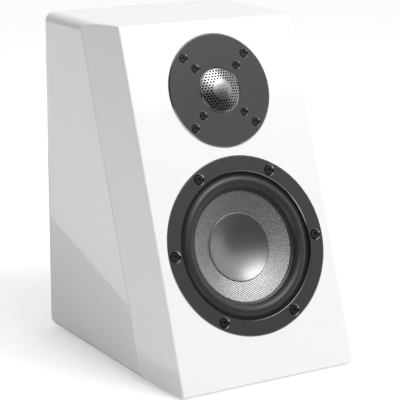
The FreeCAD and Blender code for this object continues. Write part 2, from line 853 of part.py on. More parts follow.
def woofer_basket():
    """The cast frame: a flange, six arms and the ring that holds the spider and the motor."""
    arm_top = cutout_radius - basket_gap
    under = flange_thick + basket_shoulder
    body = lathe("woofer_basket", WOOFER, [
        (moat_radius + flange_bevel, 0), (flange_radius - flange_bevel, 0),
        (flange_radius, -flange_bevel), (flange_radius, -flange_thick),
        (arm_top, -flange_thick), (arm_top, -under),
        (basket_ring_radius, -basket_depth), (basket_ring_bore, -basket_depth),
        (basket_ring_bore, -basket_depth + basket_wall),
        (basket_ring_radius - 2 * basket_wall, -spider_depth),
        (basket_ring_radius - basket_wall, -spider_depth),
        (arm_top - basket_wall, -under), (ledge_radius, -flange_thick),
        (ledge_radius, -moat_depth), (moat_radius, -moat_depth), (moat_radius, -flange_bevel),
    ])
    lug = sketch_on(body, "XY_Plane", -basket_depth)
    rectangle(lug, -lug_width / 2, lug_width / 2,
              -basket_ring_radius - lug_reach, -basket_ring_radius + lug_thick)
    pad(body, lug, lug_thick)
    screw_wells(body, ring_points(screw_circle, WOOFER_SCREW_COUNT), head_well, well_bevel, 0,
                head_height + head_sink, shank_hole, flange_thick)
    low = -spider_depth - window_margin
    high = -under - window_margin / 2
    window = sketch_on(body, "XZ_Plane")
    outline(window, [(-window_low, low), (window_low, low), (window_high, high),
                     (-window_high, high)])
    cut = pocket(body, window, flange_radius)
    DOC.recompute()
    pattern = body.newObject("PartDesign::PolarPattern", "basket_windows")
    pattern.Originals = [cut]
    pattern.Axis = (origin_item(body, "Z_Axis"), [""])
    pattern.Angle = FULL_TURN
    pattern.Occurrences = 6
    body.Tip = pattern
    return keep(body, "woofer_basket")


def woofer_gasket():
    low = -flange_thick - woofer_gasket_thick
    body = ring("woofer_gasket", WOOFER, cutout_radius, flange_radius, low, -flange_thick)
    drill(body, ring_points(screw_circle, WOOFER_SCREW_COUNT), shank_hole, -flange_thick, woofer_gasket_thick)
    return keep(body, "woofer_gasket")


def woofer_surround():
    """The rubber roll between the frame's ledge and the cone."""
    top = -moat_depth + surround_thick
    foot = top - roll_drop
    outer_foot = (roll_outer, top)
    inner_foot = (roll_inner, foot)
    low_outer = (roll_outer - surround_thick, top - surround_thick)
    low_inner = (roll_inner + surround_thick, foot - surround_thick)
    body = lathe("woofer_surround", WOOFER, [
        (surround_outer, top), outer_foot,
        inner_foot + (bulge(outer_foot, inner_foot, roll_sag), 1),
        (lip_radius, foot - lip_drop), (lip_radius, foot - lip_drop - surround_thick),
        low_inner,
        low_outer + (bulge(low_inner, low_outer, roll_sag - surround_thick), -1),
        (surround_outer, top - surround_thick),
    ])
    return keep(body, "woofer_surround")


def cone_heights():
    """Heights of the cone's upper face at its outer edge, at the lip and at the dust cap."""
    foot = -moat_depth - roll_drop
    at_lip = foot - lip_drop - glue_gap
    at_edge = foot - glue_gap
    return at_edge, at_lip, -cone_mid_depth


def woofer_cone():
    """The woven cone, from the surround's lip down to the coil former."""
    at_edge, at_lip, at_cap = cone_heights()
    neck = -cone_neck_depth
    body = lathe("woofer_cone", WOOFER, [
        (cone_edge, at_edge), (lip_radius, at_lip), (cap_radius, at_cap), (former_radius, neck),
        (former_radius, neck - cone_thick), (cap_radius, at_cap - cone_thick),
        (lip_radius, at_lip - cone_thick), (cone_edge, at_edge - cone_thick),
    ])
    return keep(body, "woofer_cone")


def woofer_dust_cap():
    """The dished centre of the cone."""
    _, at_lip, at_cap = cone_heights()
    slope = (at_lip - at_cap) / (lip_radius - cap_radius)
    edge = (cap_radius, at_cap)
    outer = (cap_radius + cap_foot, at_cap + cap_foot * slope)
    middle = (0, at_cap - cap_sag)
    upper_edge = (cap_radius, at_cap + cap_thick)
    upper_middle = (0, at_cap - cap_sag + cap_thick)
    radius = (cap_radius * cap_radius + cap_sag * cap_sag) / (2 * cap_sag)
    body = lathe("woofer_dust_cap", WOOFER, [
        middle, edge + (radius, 1), outer, (outer[0], outer[1] + cap_thick),
        upper_edge, upper_middle + (radius, -1),
    ])
    return keep(body, "woofer_dust_cap")


def woofer_moving_tube():
    """The coil former and the voice coil wound on it."""
    bore = former_radius - former_wall
    keep(ring("woofer_coil_former", WOOFER, bore, former_radius, -former_end,
              -cone_neck_depth), "woofer_coil_former")
    middle = -basket_depth - top_plate_thick / 2
    keep(ring("woofer_voice_coil", WOOFER, former_radius, former_radius + coil_thick,
              middle - coil_length / 2, middle + coil_length / 2), "woofer_voice_coil")


def woofer_spider():
    """The corrugated disc that centres the coil."""
    inner = former_radius + spider_neck
    outer = basket_ring_radius - 2 * basket_wall - spider_flat
    step = (outer - inner) / SPIDER_WAVES
    arc = bulge((inner, 0), (inner + step, 0), spider_sag)
    low = -spider_depth
    high = low + surround_thick
    lower = [(former_radius, low)]
    upper = [(former_radius, high)]
    for index in range(SPIDER_WAVES + 1):
        radius = inner + step * index
        if index == 0:
            lower.append((radius, low))
            upper.append((radius, high))
            continue
        turn = 1 if index % 2 else -1
        lower.append((radius, low, arc, turn))
        upper.append((radius, high, arc, turn))
    rim = basket_ring_radius - basket_wall
    back_up = [(upper[-1][0], high)]
    for index in range(SPIDER_WAVES, 0, -1):
        place = inner + step * (index - 1)
        turn = -1 if index % 2 else 1
        back_up.append((place, high, arc, turn))
    body = lathe("woofer_spider", WOOFER,
                 lower + [(rim, low), (rim, high)] + back_up + [(former_radius, high)])
    return keep(body, "woofer_spider")


def woofer_motor():
    """Top plate, ring magnet, and the back plate with its vented pole."""
    bore = former_radius + coil_thick + gap_width
    plate_low = -basket_depth - top_plate_thick
    magnet_low = plate_low - ferrite_thick
    pole = former_radius - former_wall - coil_gap
    keep(ring("woofer_top_plate", WOOFER, bore, top_plate_radius, plate_low,
              -basket_depth), "woofer_top_plate")
    keep(ring("woofer_magnet", WOOFER, ferrite_bore, ferrite_radius, magnet_low,
              plate_low), "woofer_magnet")
    keep(lathe("woofer_yoke", WOOFER, [
        (vent_radius, magnet_low - yoke_thick), (ferrite_radius, magnet_low - yoke_thick),
        (ferrite_radius, magnet_low), (pole, magnet_low), (pole, -basket_depth),
        (vent_radius, -basket_depth),
    ]), "woofer_yoke")


def blades(name, spot, side, width, up, low, length):
    """A pair of flat terminal blades that point into the cabinet."""
    body = new_body(name, spot)
    sketch = sketch_on(body, "XY_Plane", low)
    for sign in (-1, 1):
        middle = side * sign
        rectangle(sketch, middle - width / 2, middle + width / 2,
                  up - blade_thick / 2, up + blade_thick / 2)
    pad(body, sketch, length)
    return keep(body, name)


def woofer_fasteners():
    """Six screws through the flange into brass inserts in the front."""
    points = ring_points(screw_circle, WOOFER_SCREW_COUNT)
    seat_height = -head_height - head_sink
    length = flange_thick + woofer_gasket_thick + insert_length + seat_height
    screws("woofer_screws", WOOFER, points, head_radius, head_height, seat_height,
           shank_radius, length)
    top = -flange_thick - woofer_gasket_thick
    inserts = new_body("woofer_inserts", WOOFER)
    posts(inserts, points, insert_radius, top - insert_length, insert_length)
    drill(inserts, points, shank_radius, top, insert_length)
    keep(inserts, "woofer_inserts")


# ---------------------------------------------------------------- tweeter
def grille_sphere():
    """Radius of the grille's outer face, and the height of its centre."""
    rim = opening_radius - grille_fit
    rim_height = -ledge_depth + grille_rim
    radius = (rim * rim + grille_rise * grille_rise) / (2 * grille_rise)
    return radius, rim_height + grille_rise - radius


def tweeter_faceplate():
    """The round plate, with the ledge for the grille and a boss that meets the motor."""
    back = -plate_sunk - boss_height
    body = lathe("tweeter_faceplate", TWEETER, [
        (opening_radius + opening_bevel, plate_proud), (plate_radius - plate_bevel, plate_proud),
        (plate_radius, plate_proud - plate_bevel), (plate_radius, -plate_sunk),
        (boss_radius, -plate_sunk), (boss_radius, back), (boss_bore, back),
        (opening_ledge, -plate_sunk), (opening_ledge, -ledge_depth),
        (opening_radius, -ledge_depth), (opening_radius, plate_proud - opening_bevel),
    ])
    screw_wells(body, tweeter_points(outer_screw_circle), outer_well, small_well_bevel,
                plate_proud, small_well_depth, outer_shank + small_shank_gap,
                plate_proud + plate_sunk)
    screw_wells(body, tweeter_points(inner_screw_circle), inner_well, small_well_bevel,
                plate_proud, small_well_depth, inner_shank + small_shank_gap,
                plate_proud - back)
    return keep(body, "tweeter_faceplate")


def tweeter_gasket():
    low = -plate_sunk - tweeter_gasket_thick
    body = ring("tweeter_gasket", TWEETER, tweeter_cutout, plate_radius, low, -plate_sunk)
    drill(body, tweeter_points(outer_screw_circle), outer_shank + small_shank_gap,
          -plate_sunk, tweeter_gasket_thick)
    return keep(body, "tweeter_gasket")


def tweeter_grille():
    """The domed metal guard over the opening, with the seat for its central disc."""
    radius, centre = grille_sphere()
    inner = radius - grille_thick
    rim = opening_radius - grille_fit
    seat_squared = diffuser_seat * diffuser_seat
    base_drop = -ledge_depth - centre
    foot = root(inner * inner - base_drop * base_drop)
    body = lathe("tweeter_grille", TWEETER, [
        (rim, -ledge_depth), (rim, -ledge_depth + grille_rim),
        (diffuser_seat, centre + root(radius * radius - seat_squared), radius, 1),
        (diffuser_seat, centre + root(inner * inner - seat_squared)),
        (foot, -ledge_depth, inner, -1),
    ])
    return keep(body, "tweeter_grille")


def tweeter_diffuser():
    """The smooth disc at the middle of the guard, with seven small holes."""
    radius, centre = grille_sphere()
    outer = radius + diffuser_thick
    reach_squared = diffuser_radius * diffuser_radius
    body = lathe("tweeter_diffuser", TWEETER, [
        (0, centre + radius, radius, 1), (0, centre + outer),
        (diffuser_radius, centre + root(outer * outer - reach_squared), outer, -1),
        (diffuser_radius, centre + root(radius * radius - reach_squared)),
    ])
    top = centre + outer
    drill(body, [(as_size(0), as_size(0))] + ring_points(diffuser_ring, DIFFUSER_HOLE_COUNT), diffuser_hole,
          top, 3 * diffuser_thick)
    return keep(body, "tweeter_diffuser")


def tweeter_dome():
    """The small dome that makes the high notes, with its coil and its soft rim."""
    radius = (dome_radius * dome_radius + dome_rise * dome_rise) / (2 * dome_rise)
    rim = -dome_rim
    low = rim - dome_thick
    keep(lathe("tweeter_dome", TWEETER, [
        (0, low + dome_rise), (dome_radius, low, radius, -1), (dome_radius, rim),
        (0, rim + dome_rise, radius, 1),
    ]), "tweeter_dome")
    keep(ring("tweeter_voice_coil", TWEETER, tweeter_coil_outer - tweeter_coil_wall,
              tweeter_coil_outer, low - tweeter_coil_length, low), "tweeter_voice_coil")
    seat_height = -plate_sunk - boss_height
    top = seat_height + tweeter_lip_thick
    outer_foot = (tweeter_roll_outer, top)
    inner_foot = (tweeter_roll_inner, top)
    arc = bulge(outer_foot, inner_foot, tweeter_roll_sag)
    keep(lathe("tweeter_surround", TWEETER, [
        (tweeter_lip, top), outer_foot, inner_foot + (arc, 1), (tweeter_roll_inner, seat_height),
        (tweeter_roll_outer, seat_height, arc, -1), (tweeter_lip, seat_height),
    ]), "tweeter_surround")


def tweeter_motor():
    """Top plate, ring magnet, back plate with its pole, and the sealed rear chamber."""
    top = -plate_sunk - boss_height
    plate_low = top - tweeter_plate_thick
    magnet_low = plate_low - tweeter_magnet_thick
    yoke_low = magnet_low - tweeter_yoke_thick
    pole = tweeter_coil_outer - tweeter_coil_wall - tweeter_coil_gap
    plate = ring("tweeter_top_plate", TWEETER, tweeter_coil_outer + tweeter_coil_gap,
                 boss_radius, plate_low, top)
    drill(plate, tweeter_points(inner_screw_circle), inner_shank, top, tweeter_plate_thick)
    keep(plate, "tweeter_top_plate")
    keep(ring("tweeter_magnet", TWEETER, tweeter_magnet_bore, tweeter_magnet_radius,
              magnet_low, plate_low), "tweeter_magnet")
    keep(lathe("tweeter_yoke", TWEETER, [
        (0, yoke_low), (tweeter_magnet_radius, yoke_low), (tweeter_magnet_radius, magnet_low),
        (pole, magnet_low), (pole, top - dome_thick), (0, top - dome_thick),
    ]), "tweeter_yoke")
    end = yoke_low - chamber_length
    inside = end + chamber_wall
    cover = lathe("tweeter_rear_cover", TWEETER, [
        (0, end), (chamber_radius, end), (chamber_radius, yoke_low),
        (chamber_radius - chamber_wall, yoke_low), (chamber_radius - chamber_wall, inside),
        (0, inside),
    ])
    block_sketch = sketch_on(cover, "XY_Plane", end - chamber_boss)
    centred(block_sketch, 4 * tweeter_blade_side, 2 * tweeter_blade_side)
    pad(cover, block_sketch, chamber_boss)
    keep(cover, "tweeter_rear_cover")
    blade_low = end - chamber_boss - blade_length
    blades("tweeter_terminals", TWEETER, tweeter_blade_side, tweeter_blade_width,
           as_size(0), blade_low, blade_length)
    return blade_low


def tweeter_fasteners():
    """Four screws hold the plate to the cabinet and four hold the motor to the plate."""
    seat_height = plate_proud - small_well_depth
    screws("tweeter_mounting_screws", TWEETER, tweeter_points(outer_screw_circle),
           outer_head_radius, small_head_height, seat_height, outer_shank, outer_screw_length)
    inner_length = seat_height + plate_sunk + boss_height + tweeter_plate_thick
    screws("tweeter_motor_screws", TWEETER, tweeter_points(inner_screw_circle),
           inner_head_radius, small_head_height, seat_height, inner_shank, inner_length)


# ---------------------------------------------------------------- terminals on the back
def cup_screw_points():
    across = cup_width / 2 - cup_screw_inset
    up = cup_height / 2 - cup_screw_inset
    return [(across * x, up * y) for x in (-1, 1) for y in (-1, 1)]


def post_points():
    return [(post_side * side, as_size(0)) for side in (-1, 1)]


def terminal_cup():
    """The recessed cup, its gasket and its four screws."""
    body = slab("terminal_cup", CUP, (-cup_width / 2, cup_width / 2),
                (-cup_height / 2, cup_height / 2), (-cup_flange, 0))
    shell = sketch_on(body, "XY_Plane", -cup_depth - cup_wall)
    centred(shell, cup_inner_width + 2 * cup_wall, cup_inner_height + 2 * cup_wall)
    pad(body, shell, cup_depth + cup_wall - cup_flange)
    hollow = sketch_on(body, "XY_Plane", 0)
    centred(hollow, cup_inner_width, cup_inner_height)
    pocket(body, hollow, cup_depth)
    drill(body, post_points(), stud_radius, -cup_depth, cup_wall)
    drill(body, cup_screw_points(), cup_well, 0, cup_well_depth)
    drill(body, cup_screw_points(), cup_shank, 0, cup_flange)
    keep(body, "terminal_cup")
    gasket = slab("terminal_gasket", CUP, (-cup_width / 2, cup_width / 2),
                  (-cup_height / 2, cup_height / 2), (-cup_flange - cup_gasket_thick, -cup_flange))
    inner = sketch_on(gasket, "XY_Plane", -cup_flange)
    centred(inner, cup_inner_width + 2 * cup_wall + 2 * cup_fit,
            cup_inner_height + 2 * cup_wall + 2 * cup_fit)
    pocket(gasket, inner, cup_gasket_thick)
    drill(gasket, cup_screw_points(), cup_shank, -cup_flange, cup_gasket_thick)
    keep(gasket, "terminal_gasket")
    screws("terminal_screws", CUP, cup_screw_points(), cup_head_radius, cup_head_height,
           -cup_well_depth, cup_shank, cup_screw_length)


def binding_posts():
    """Two bored studs with collars and nuts, each with a clamp washer and a turning knob."""
    tail = -cup_depth - cup_wall - stud_tail
    studs = new_body("post_studs", CUP)
    posts(studs, post_points(), stud_radius, tail, -stud_front - tail)
    drill(studs, post_points(), plug_bore, -stud_front, plug_depth)
    keep(studs, "post_studs")
    collars = new_body("post_collars", CUP)
    posts(collars, post_points(), collar_radius, -cup_depth, collar_thick)
    drill(collars, post_points(), stud_radius, -cup_depth + collar_thick, collar_thick)
    keep(collars, "post_collars")
    nuts = new_body("post_nuts", CUP)
    nut_sketch = sketch_on(nuts, "XY_Plane", -cup_depth - cup_wall - nut_thick)
    polygon(nut_sketch, post_points(), nut_flat, 6)
    pad(nuts, nut_sketch, nut_thick)
    drill(nuts, post_points(), stud_radius, -cup_depth - cup_wall, nut_thick)
    keep(nuts, "post_nuts")
    washer_low = -cup_depth + collar_thick + washer_gap
    washer_high = washer_low + washer_thick
    knob_low = washer_high + turn_gap
    bore = stud_radius + turn_gap
    for colour, side in (("red", 1), ("black", -1)):
        spot = Spot(post_side * side, CUP.back, CUP.up, CUP.turn)
        keep(ring(colour + "_post_washer", spot, bore, washer_radius, washer_low,
                  washer_high), colour + "_post_washer")
        knob = lathe(colour + "_post_knob", spot, [
            (bore, knob_low), (knob_radius, knob_low), (knob_radius, -knob_end - knob_bevel),
            (knob_radius - knob_bevel, -knob_end), (bore, -knob_end),
        ])
        grooves = ring_points(knob_radius + knob_groove / 2, KNOB_GROOVE_COUNT)
        drill(knob, grooves, knob_groove, -knob_end, -knob_end - knob_low - knob_bevel)
        keep(knob, colour + "_post_knob")
    return tail


# ---------------------------------------------------------------- crossover and leads
def board_places():
    """Height of the board's upper face, and its four fixing points."""
    across = board_width / 2 - board_inset
    along = board_length / 2 - board_inset
    corners = [(across * x, board_middle + along * y) for x in (-1, 1) for y in (-1, 1)]
    return floor_z + standoff_height + board_thick, corners


def crossover_board():
    """The circuit board on its four standoffs."""
    face, corners = board_places()
    body = slab("crossover_board", WORLD, (-board_width / 2, board_width / 2),
                (board_middle - board_length / 2, board_middle + board_length / 2),
                (face - board_thick, face))
    drill(body, corners, standoff_radius / 2, face, board_thick)
    keep(body, "crossover_board")
    legs = new_body("board_standoffs", WORLD)
    posts(legs, corners, standoff_radius, floor_z, standoff_height)
    posts(legs, corners, standoff_radius / 2, floor_z + standoff_height, board_thick)
    posts(legs, corners, standoff_radius, face, board_thick)
    keep(legs, "board_standoffs")


def upright_coil(body, x, y, inner, outer, low, tall):
    """An air-core coil standing on the board, as a ring."""
    posts(body, [(x, y)], outer, low, tall)
    drill(body, [(x, y)], inner, low + tall, tall)


def crossover_parts():
    """Two coils, three capacitors and two resistors, standing on the board."""
    face, _ = board_places()
    coils = new_body("crossover_inductors", WORLD)
    upright_coil(coils, -coil_side, board_middle + coil_ahead, coil_bore, coil_outer,
                 face, coil_tall)
    upright_coil(coils, small_coil_side, board_middle + small_coil_ahead, small_coil_bore,
                 small_coil_outer, face, small_coil_tall)
    keep(coils, "crossover_inductors")
    caps = new_body("crossover_capacitors", WORLD)
    near_edge = board_middle - board_length / 2 + capacitor_margin
    sketch = sketch_on(caps, "XZ_Plane", -(near_edge + capacitor_length))
    axis_height = face + capacitor_radius
    circles(sketch, [(-capacitor_side, axis_height), (capacitor_side, axis_height)],
            capacitor_radius)
    pad(caps, sketch, capacitor_length)
    sketch = sketch_on(caps, "XZ_Plane", -(board_middle + small_capacitor_ahead))
    circles(sketch, [(as_size(0), face + small_capacitor_radius)], small_capacitor_radius)
    pad(caps, sketch, small_capacitor_length)
    keep(caps, "crossover_capacitors")
    resistors = new_body("crossover_resistors", WORLD)
    sketch = sketch_on(resistors, "XY_Plane", face)
    near = board_middle + resistor_ahead
    far = board_middle + resistor_far
    rectangle(sketch, resistor_side, resistor_side + resistor_width, near,
              near + resistor_length)
    rectangle(sketch, -resistor_length / 2, resistor_length / 2, far, far + resistor_width)
    pad(resistors, sketch, resistor_width)
    keep(resistors, "crossover_resistors")


def lead(points):
    """A round lead along straight runs that are joined by tangent arcs."""
    edges = []
    start = points[0]
    for before, corner, after in zip(points, points[1:], points[2:]):
        into = corner.sub(before)
        away = after.sub(corner)
        turn = into.getAngle(away)
        radius = BEND_SHARE * min(into.Length, away.Length) / math.tan(turn / 2)
        setback = radius * math.tan(turn / 2)
        arc_start = corner - into.normalize() * setback
        arc_end = corner + away.normalize() * setback
        bisector = (away - into).normalize()
        centre = corner + bisector * (radius / math.cos(turn / 2))
        middle = centre - bisector * radius
        edges.append(Part.LineSegment(start, arc_start).toShape())
        edges.append(Part.Arc(arc_start, middle, arc_end).toShape())
        start = arc_end
        print("lead radius", round(radius, 1))
    edges.append(Part.LineSegment(start, points[-1]).toShape())
    path = Part.Wire(edges)
    radius = SHEET.get("lead_thick") / 2
    rim = Part.Circle(points[0], points[1].sub(points[0]), radius).toShape()
    tube = path.makePipeShell([Part.Wire([rim])], True, False)
    expected = math.pi * radius * radius * path.Length
    if abs(tube.Volume - expected) > TOUCH * expected:
        raise ValueError("a lead's volume does not match its length")
    return tube


def lead_pair(name, routes):
    """Two leads as one exported part."""
    item = DOC.addObject("Part::Feature", name)
    item.Shape = Part.makeCompound([lead(points) for points in routes])
    item.Placement = FreeCAD.Placement()
    return keep(item, name)


def internal_leads(tweeter_tail, stud_tail_height):
    """Leads from the terminal studs and from both drivers down to the board."""
    face = board_places()[0].value
    middle = board_middle.value
    vector = FreeCAD.Vector
    woofer_routes = []
    tweeter_routes = []
    input_routes = []
    blade_up = -(basket_ring_radius + woofer_blade_out)
    woofer_tail = -basket_depth - blade_length
    for side in (-1, 1):
        near = WOOFER.world(woofer_blade_side * side, blade_up, woofer_tail)
        next_point = WOOFER.world(woofer_blade_side * side, blade_up, woofer_tail - 9)
        pad_y = middle - 40
        woofer_routes.append([near, next_point, vector(8 * side, pad_y - 4, face + 16),
                              vector(10 * side, pad_y, face + 8), vector(10 * side, pad_y, face)])
        near = TWEETER.world(tweeter_blade_side * side, 0, tweeter_tail)
        next_point = TWEETER.world(tweeter_blade_side * side, 0, tweeter_tail - 10)
        column = middle + 10
        drop = next_point.z - face
        tweeter_routes.append([
            near, next_point, vector(8 * side, column, next_point.z - 18),
            vector(12 * side, column + 1, next_point.z - 0.25 * drop),
            vector(13 * side, column, next_point.z - 0.47 * drop),
            vector(12 * side, column - 4, face + 0.32 * drop),
            vector(11 * side, column - 16, face + 0.15 * drop),
            vector(10 * side, column - 24, face + 14),
            vector(10 * side, column - 24, face)])
        near = CUP.world(post_side * side, 0, stud_tail_height)
        input_y = middle + 46
        input_routes.append([near, near + vector(0, -8, 0), near + vector(side, -18, -9),
                             vector(18 * side, input_y, face + 26),
                             vector(18 * side, input_y - 2, face + 12),
                             vector(18 * side, input_y - 2, face)])
    lead_pair("woofer_leads", woofer_routes)
    lead_pair("tweeter_leads", tweeter_routes)
    lead_pair("input_leads", input_routes)


# ---------------------------------------------------------------- build, check and write
def build_cabinet():
    envelope = cabinet_envelope()
    zone = slab("baffle_zone", FRONT, (-cab_width, cab_width),
                (-overrun, slope_length + overrun), (-baffle_thick, wall))
    rear = combine("Cut", "rear_envelope", envelope, zone)
    front_baffle(envelope, zone)
    side_panel("left_side_panel", rear, -1)
    side_panel("right_side_panel", rear, 1)
    level_panel("bottom_panel", rear, -overrun, floor_z)
    level_panel("top_panel", rear, ceiling_z, top_z + overrun)
    back_panel(rear)
    brace_z = WOOFER.up + flange_radius * cosine(front_tilt) - brace_gap
    window_brace(rear, brace_z)
    damping_pads(brace_z)
    rubber_feet()
    grille_magnets()
    port_tube()
    bracket_insert()


def build_woofer():
    woofer_basket()
    woofer_gasket()
    woofer_surround()
    woofer_cone()
    woofer_dust_cap()
    woofer_moving_tube()
    woofer_spider()
    woofer_motor()
    blades("woofer_terminals", WOOFER, woofer_blade_side, woofer_blade_width,
           -(basket_ring_radius + woofer_blade_out), -basket_depth - blade_length, blade_length)
    woofer_fasteners()


def check_and_write():
    """Stop on any failed feature or empty cut, then write one STEP file for each piece."""
    DOC.recompute()
    for item in DOC.Objects:
        if "Invalid" in item.State or "Error" in item.State:
            raise ValueError("failed: " + item.Name)
        if item.TypeId == "PartDesign::Pocket":
            if item.Shape.Volume >= item.BaseFeature.Shape.Volume - TOUCH:
                raise ValueError("a cut removes nothing: " + item.Name)
    for piece in PARTS:
        if piece.Shape.isNull() or not piece.Shape.isValid() or not piece.Shape.Solids:
            raise ValueError("bad shape: " + piece.Label)
    os.makedirs("parts", exist_ok=True)
    for piece in PARTS:
        piece.Shape.exportStep("parts/{}.step".format(piece.Label))
        print(piece.Label, len(piece.Shape.Solids), "solids", round(piece.Shape.Volume, 1))


build_cabinet()
build_woofer()
tweeter_faceplate()
tweeter_gasket()
tweeter_grille()
tweeter_diffuser()
tweeter_dome()
tweeter_tail = tweeter_motor()
tweeter_fasteners()
terminal_cup()
post_tail = binding_posts()
crossover_board()
crossover_parts()
DOC.recompute()
internal_leads(tweeter_tail, post_tail)
check_and_write()
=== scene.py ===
# %% [markdown]
# # A white two-way bookshelf speaker
# The design model holds every part at its true place: panels, drivers, port, terminals and
# the crossover inside. This lesson dresses it. Parts whose shape is right only get a finish.
# Parts with finer forms than the design model has, such as the perforated tweeter guard, the
# woven cone and the rubber roll, are made again here, in the same place and size.

# %% Load the design model
import json
import math

import bmesh
import bpy
from mathutils import Matrix, Vector


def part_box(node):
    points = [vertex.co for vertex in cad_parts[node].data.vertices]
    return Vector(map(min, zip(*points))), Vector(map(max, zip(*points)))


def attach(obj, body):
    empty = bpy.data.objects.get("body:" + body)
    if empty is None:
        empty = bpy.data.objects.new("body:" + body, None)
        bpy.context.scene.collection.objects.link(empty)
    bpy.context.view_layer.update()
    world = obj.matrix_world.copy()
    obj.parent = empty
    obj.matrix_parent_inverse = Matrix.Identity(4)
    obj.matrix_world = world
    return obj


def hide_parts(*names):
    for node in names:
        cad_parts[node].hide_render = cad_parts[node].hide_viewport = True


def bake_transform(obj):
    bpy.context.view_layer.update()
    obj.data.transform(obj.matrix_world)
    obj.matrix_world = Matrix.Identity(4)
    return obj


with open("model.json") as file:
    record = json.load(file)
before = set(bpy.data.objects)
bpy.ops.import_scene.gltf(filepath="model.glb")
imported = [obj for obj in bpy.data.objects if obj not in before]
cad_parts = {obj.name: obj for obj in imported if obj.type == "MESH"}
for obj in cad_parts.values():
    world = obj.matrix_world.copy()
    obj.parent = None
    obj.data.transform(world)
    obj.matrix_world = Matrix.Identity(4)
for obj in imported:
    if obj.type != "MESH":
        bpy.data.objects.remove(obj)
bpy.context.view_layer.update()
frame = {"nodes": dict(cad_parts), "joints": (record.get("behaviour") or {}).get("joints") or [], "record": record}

MM = 0.001

# %% [markdown]
# ## Frames of the two drivers
# Both drivers sit on the sloping front. The joint that moves the woofer's cone gives the way
# out of the cabinet, and each driver's flat sealing ring gives its centre, because the middle
# of a ring's box is the middle of the ring. Every driver piece is then drawn in plain
# coordinates in mm: x across, y up the slope, z out of the front, with z = 0 on the front.

# %% Driver frames
OUTWARD = Vector(next(j["axis"] for j in frame["joints"] if j["name"] == "woofer_travel"))
UP_SLOPE = OUTWARD.cross(Vector((1, 0, 0))).normalized()
GASKET_MIDDLE = {"woofer": 5.5, "tweeter": 3.6}


def driver_frame(name):
    """The matrix from a driver's own coordinates in mm to the speaker's in metres."""
    low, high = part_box(name + "_gasket")
    centre = (Vector(low) + Vector(high)) / 2 + OUTWARD * GASKET_MIDDLE[name] * MM
    axes = Matrix((Vector((1, 0, 0)), UP_SLOPE, OUTWARD)).transposed().to_4x4()
    return Matrix.Translation(centre) @ axes @ Matrix.Scale(MM, 4)


def span(node, matrix):
    """A part's lowest and highest corner, in a frame's own coordinates."""
    inverse = matrix.inverted()
    points = [inverse @ vertex.co for vertex in frame["nodes"][node].data.vertices]
    low = Vector([min(point[axis] for point in points) for axis in range(3)])
    high = Vector([max(point[axis] for point in points) for axis in range(3)])
    return low, high


WOOFER = driver_frame("woofer")
TWEETER = driver_frame("tweeter")
BACK = Matrix.Rotation(math.pi, 4, "Z") @ Matrix.Rotation(math.pi / 2, 4, "X") @ Matrix.Scale(MM, 4)
WORLD = Matrix.Scale(MM, 4)
print("front leans back by", round(math.degrees(math.asin(OUTWARD.z)), 2), "degrees")
print("woofer flange, from span:", round(span("woofer_basket", WOOFER)[1].x, 2), "mm radius")
print("tweeter plate, from span:", round(span("tweeter_faceplate", TWEETER)[1].x, 2), "mm radius")

# %% [markdown]
# ## Camera
# A long lens from the left of the front and a little above, as in a catalogue shot. Its place
# is given by three plain facts: how far round the object it stands, how high, and how far off.

# %% Camera
CAMERA_TURN = math.radians(-31.239)
CAMERA_RISE = math.radians(14.211)
CAMERA_ROLL = math.radians(0.163)
CAMERA_DISTANCE = 1.5996
AIM = Vector((-0.956, 0.0, 153.464)) * MM
LENS = 141.87
SENSOR = 36.0


def place_camera():
    """A camera that looks at AIM from the given turn, rise and distance."""
    back = Vector((math.sin(CAMERA_TURN) * math.cos(CAMERA_RISE),
                   -math.cos(CAMERA_TURN) * math.cos(CAMERA_RISE), math.sin(CAMERA_RISE)))
    data = bpy.data.cameras.new("camera")
    data.lens = LENS
    data.sensor_width = SENSOR
    item = bpy.data.objects.new("camera", data)
    bpy.context.scene.collection.objects.link(item)
    turn = (-back).to_track_quat("-Z", "Y").to_matrix().to_4x4()
    roll = Matrix.Rotation(CAMERA_ROLL, 4, "Z")
    item.matrix_world = Matrix.Translation(AIM + back * CAMERA_DISTANCE) @ turn @ roll
    bpy.context.scene.camera = item
    return item


camera = place_camera()
print("camera at", [round(value, 3) for value in camera.matrix_world.translation])

# %% [markdown]
# ## Helpers for nodes
# Materials and Geometry Nodes are both trees of nodes. One helper adds a node and joins or
# sets its inputs, so that a recipe reads as a list of steps. A second one does arithmetic.

# %% Node helpers
def add(tree, kind, inputs=(), **settings):
    """A node with its settings, and each input set to a value or joined to a socket."""
    made = tree.nodes.new(kind)
    for key, value in settings.items():
        setattr(made, key, value)
    for key, value in dict(inputs).items():
        if isinstance(value, bpy.types.NodeSocket):
            tree.links.new(value, made.inputs[key])
        else:
            made.inputs[key].default_value = value
    return made


def calc(tree, operation, *values):
    """One step of arithmetic on values or sockets."""
    return add(tree, "ShaderNodeMath", dict(enumerate(values)), operation=operation).outputs[0]


def shader_tree(name):
    """A new material with a Principled shader, ready for its recipe."""
    material = bpy.data.materials.new(name)
    material.use_nodes = True
    tree = material.node_tree
    tree.nodes.clear()
    shader = add(tree, "ShaderNodeBsdfPrincipled")
    add(tree, "ShaderNodeOutputMaterial", {"Surface": shader.outputs["BSDF"]})
    return material, tree, shader


def own_coords(tree):
    return add(tree, "ShaderNodeTexCoord").outputs["Object"]


def noise(tree, scale, detail=3.0):
    """A noise value over the piece's own coordinates, in cells for each metre."""
    inputs = {"Vector": own_coords(tree), "Scale": scale, "Detail": detail}
    return add(tree, "ShaderNodeTexNoise", inputs).outputs["Fac"]


def spread(tree, value, low, high, start=0.0, end=1.0):
    """A value from start..end stretched to low..high."""
    inputs = {"Value": value, "From Min": start, "From Max": end, "To Min": low, "To Max": high}
    return add(tree, "ShaderNodeMapRange", inputs).outputs["Result"]


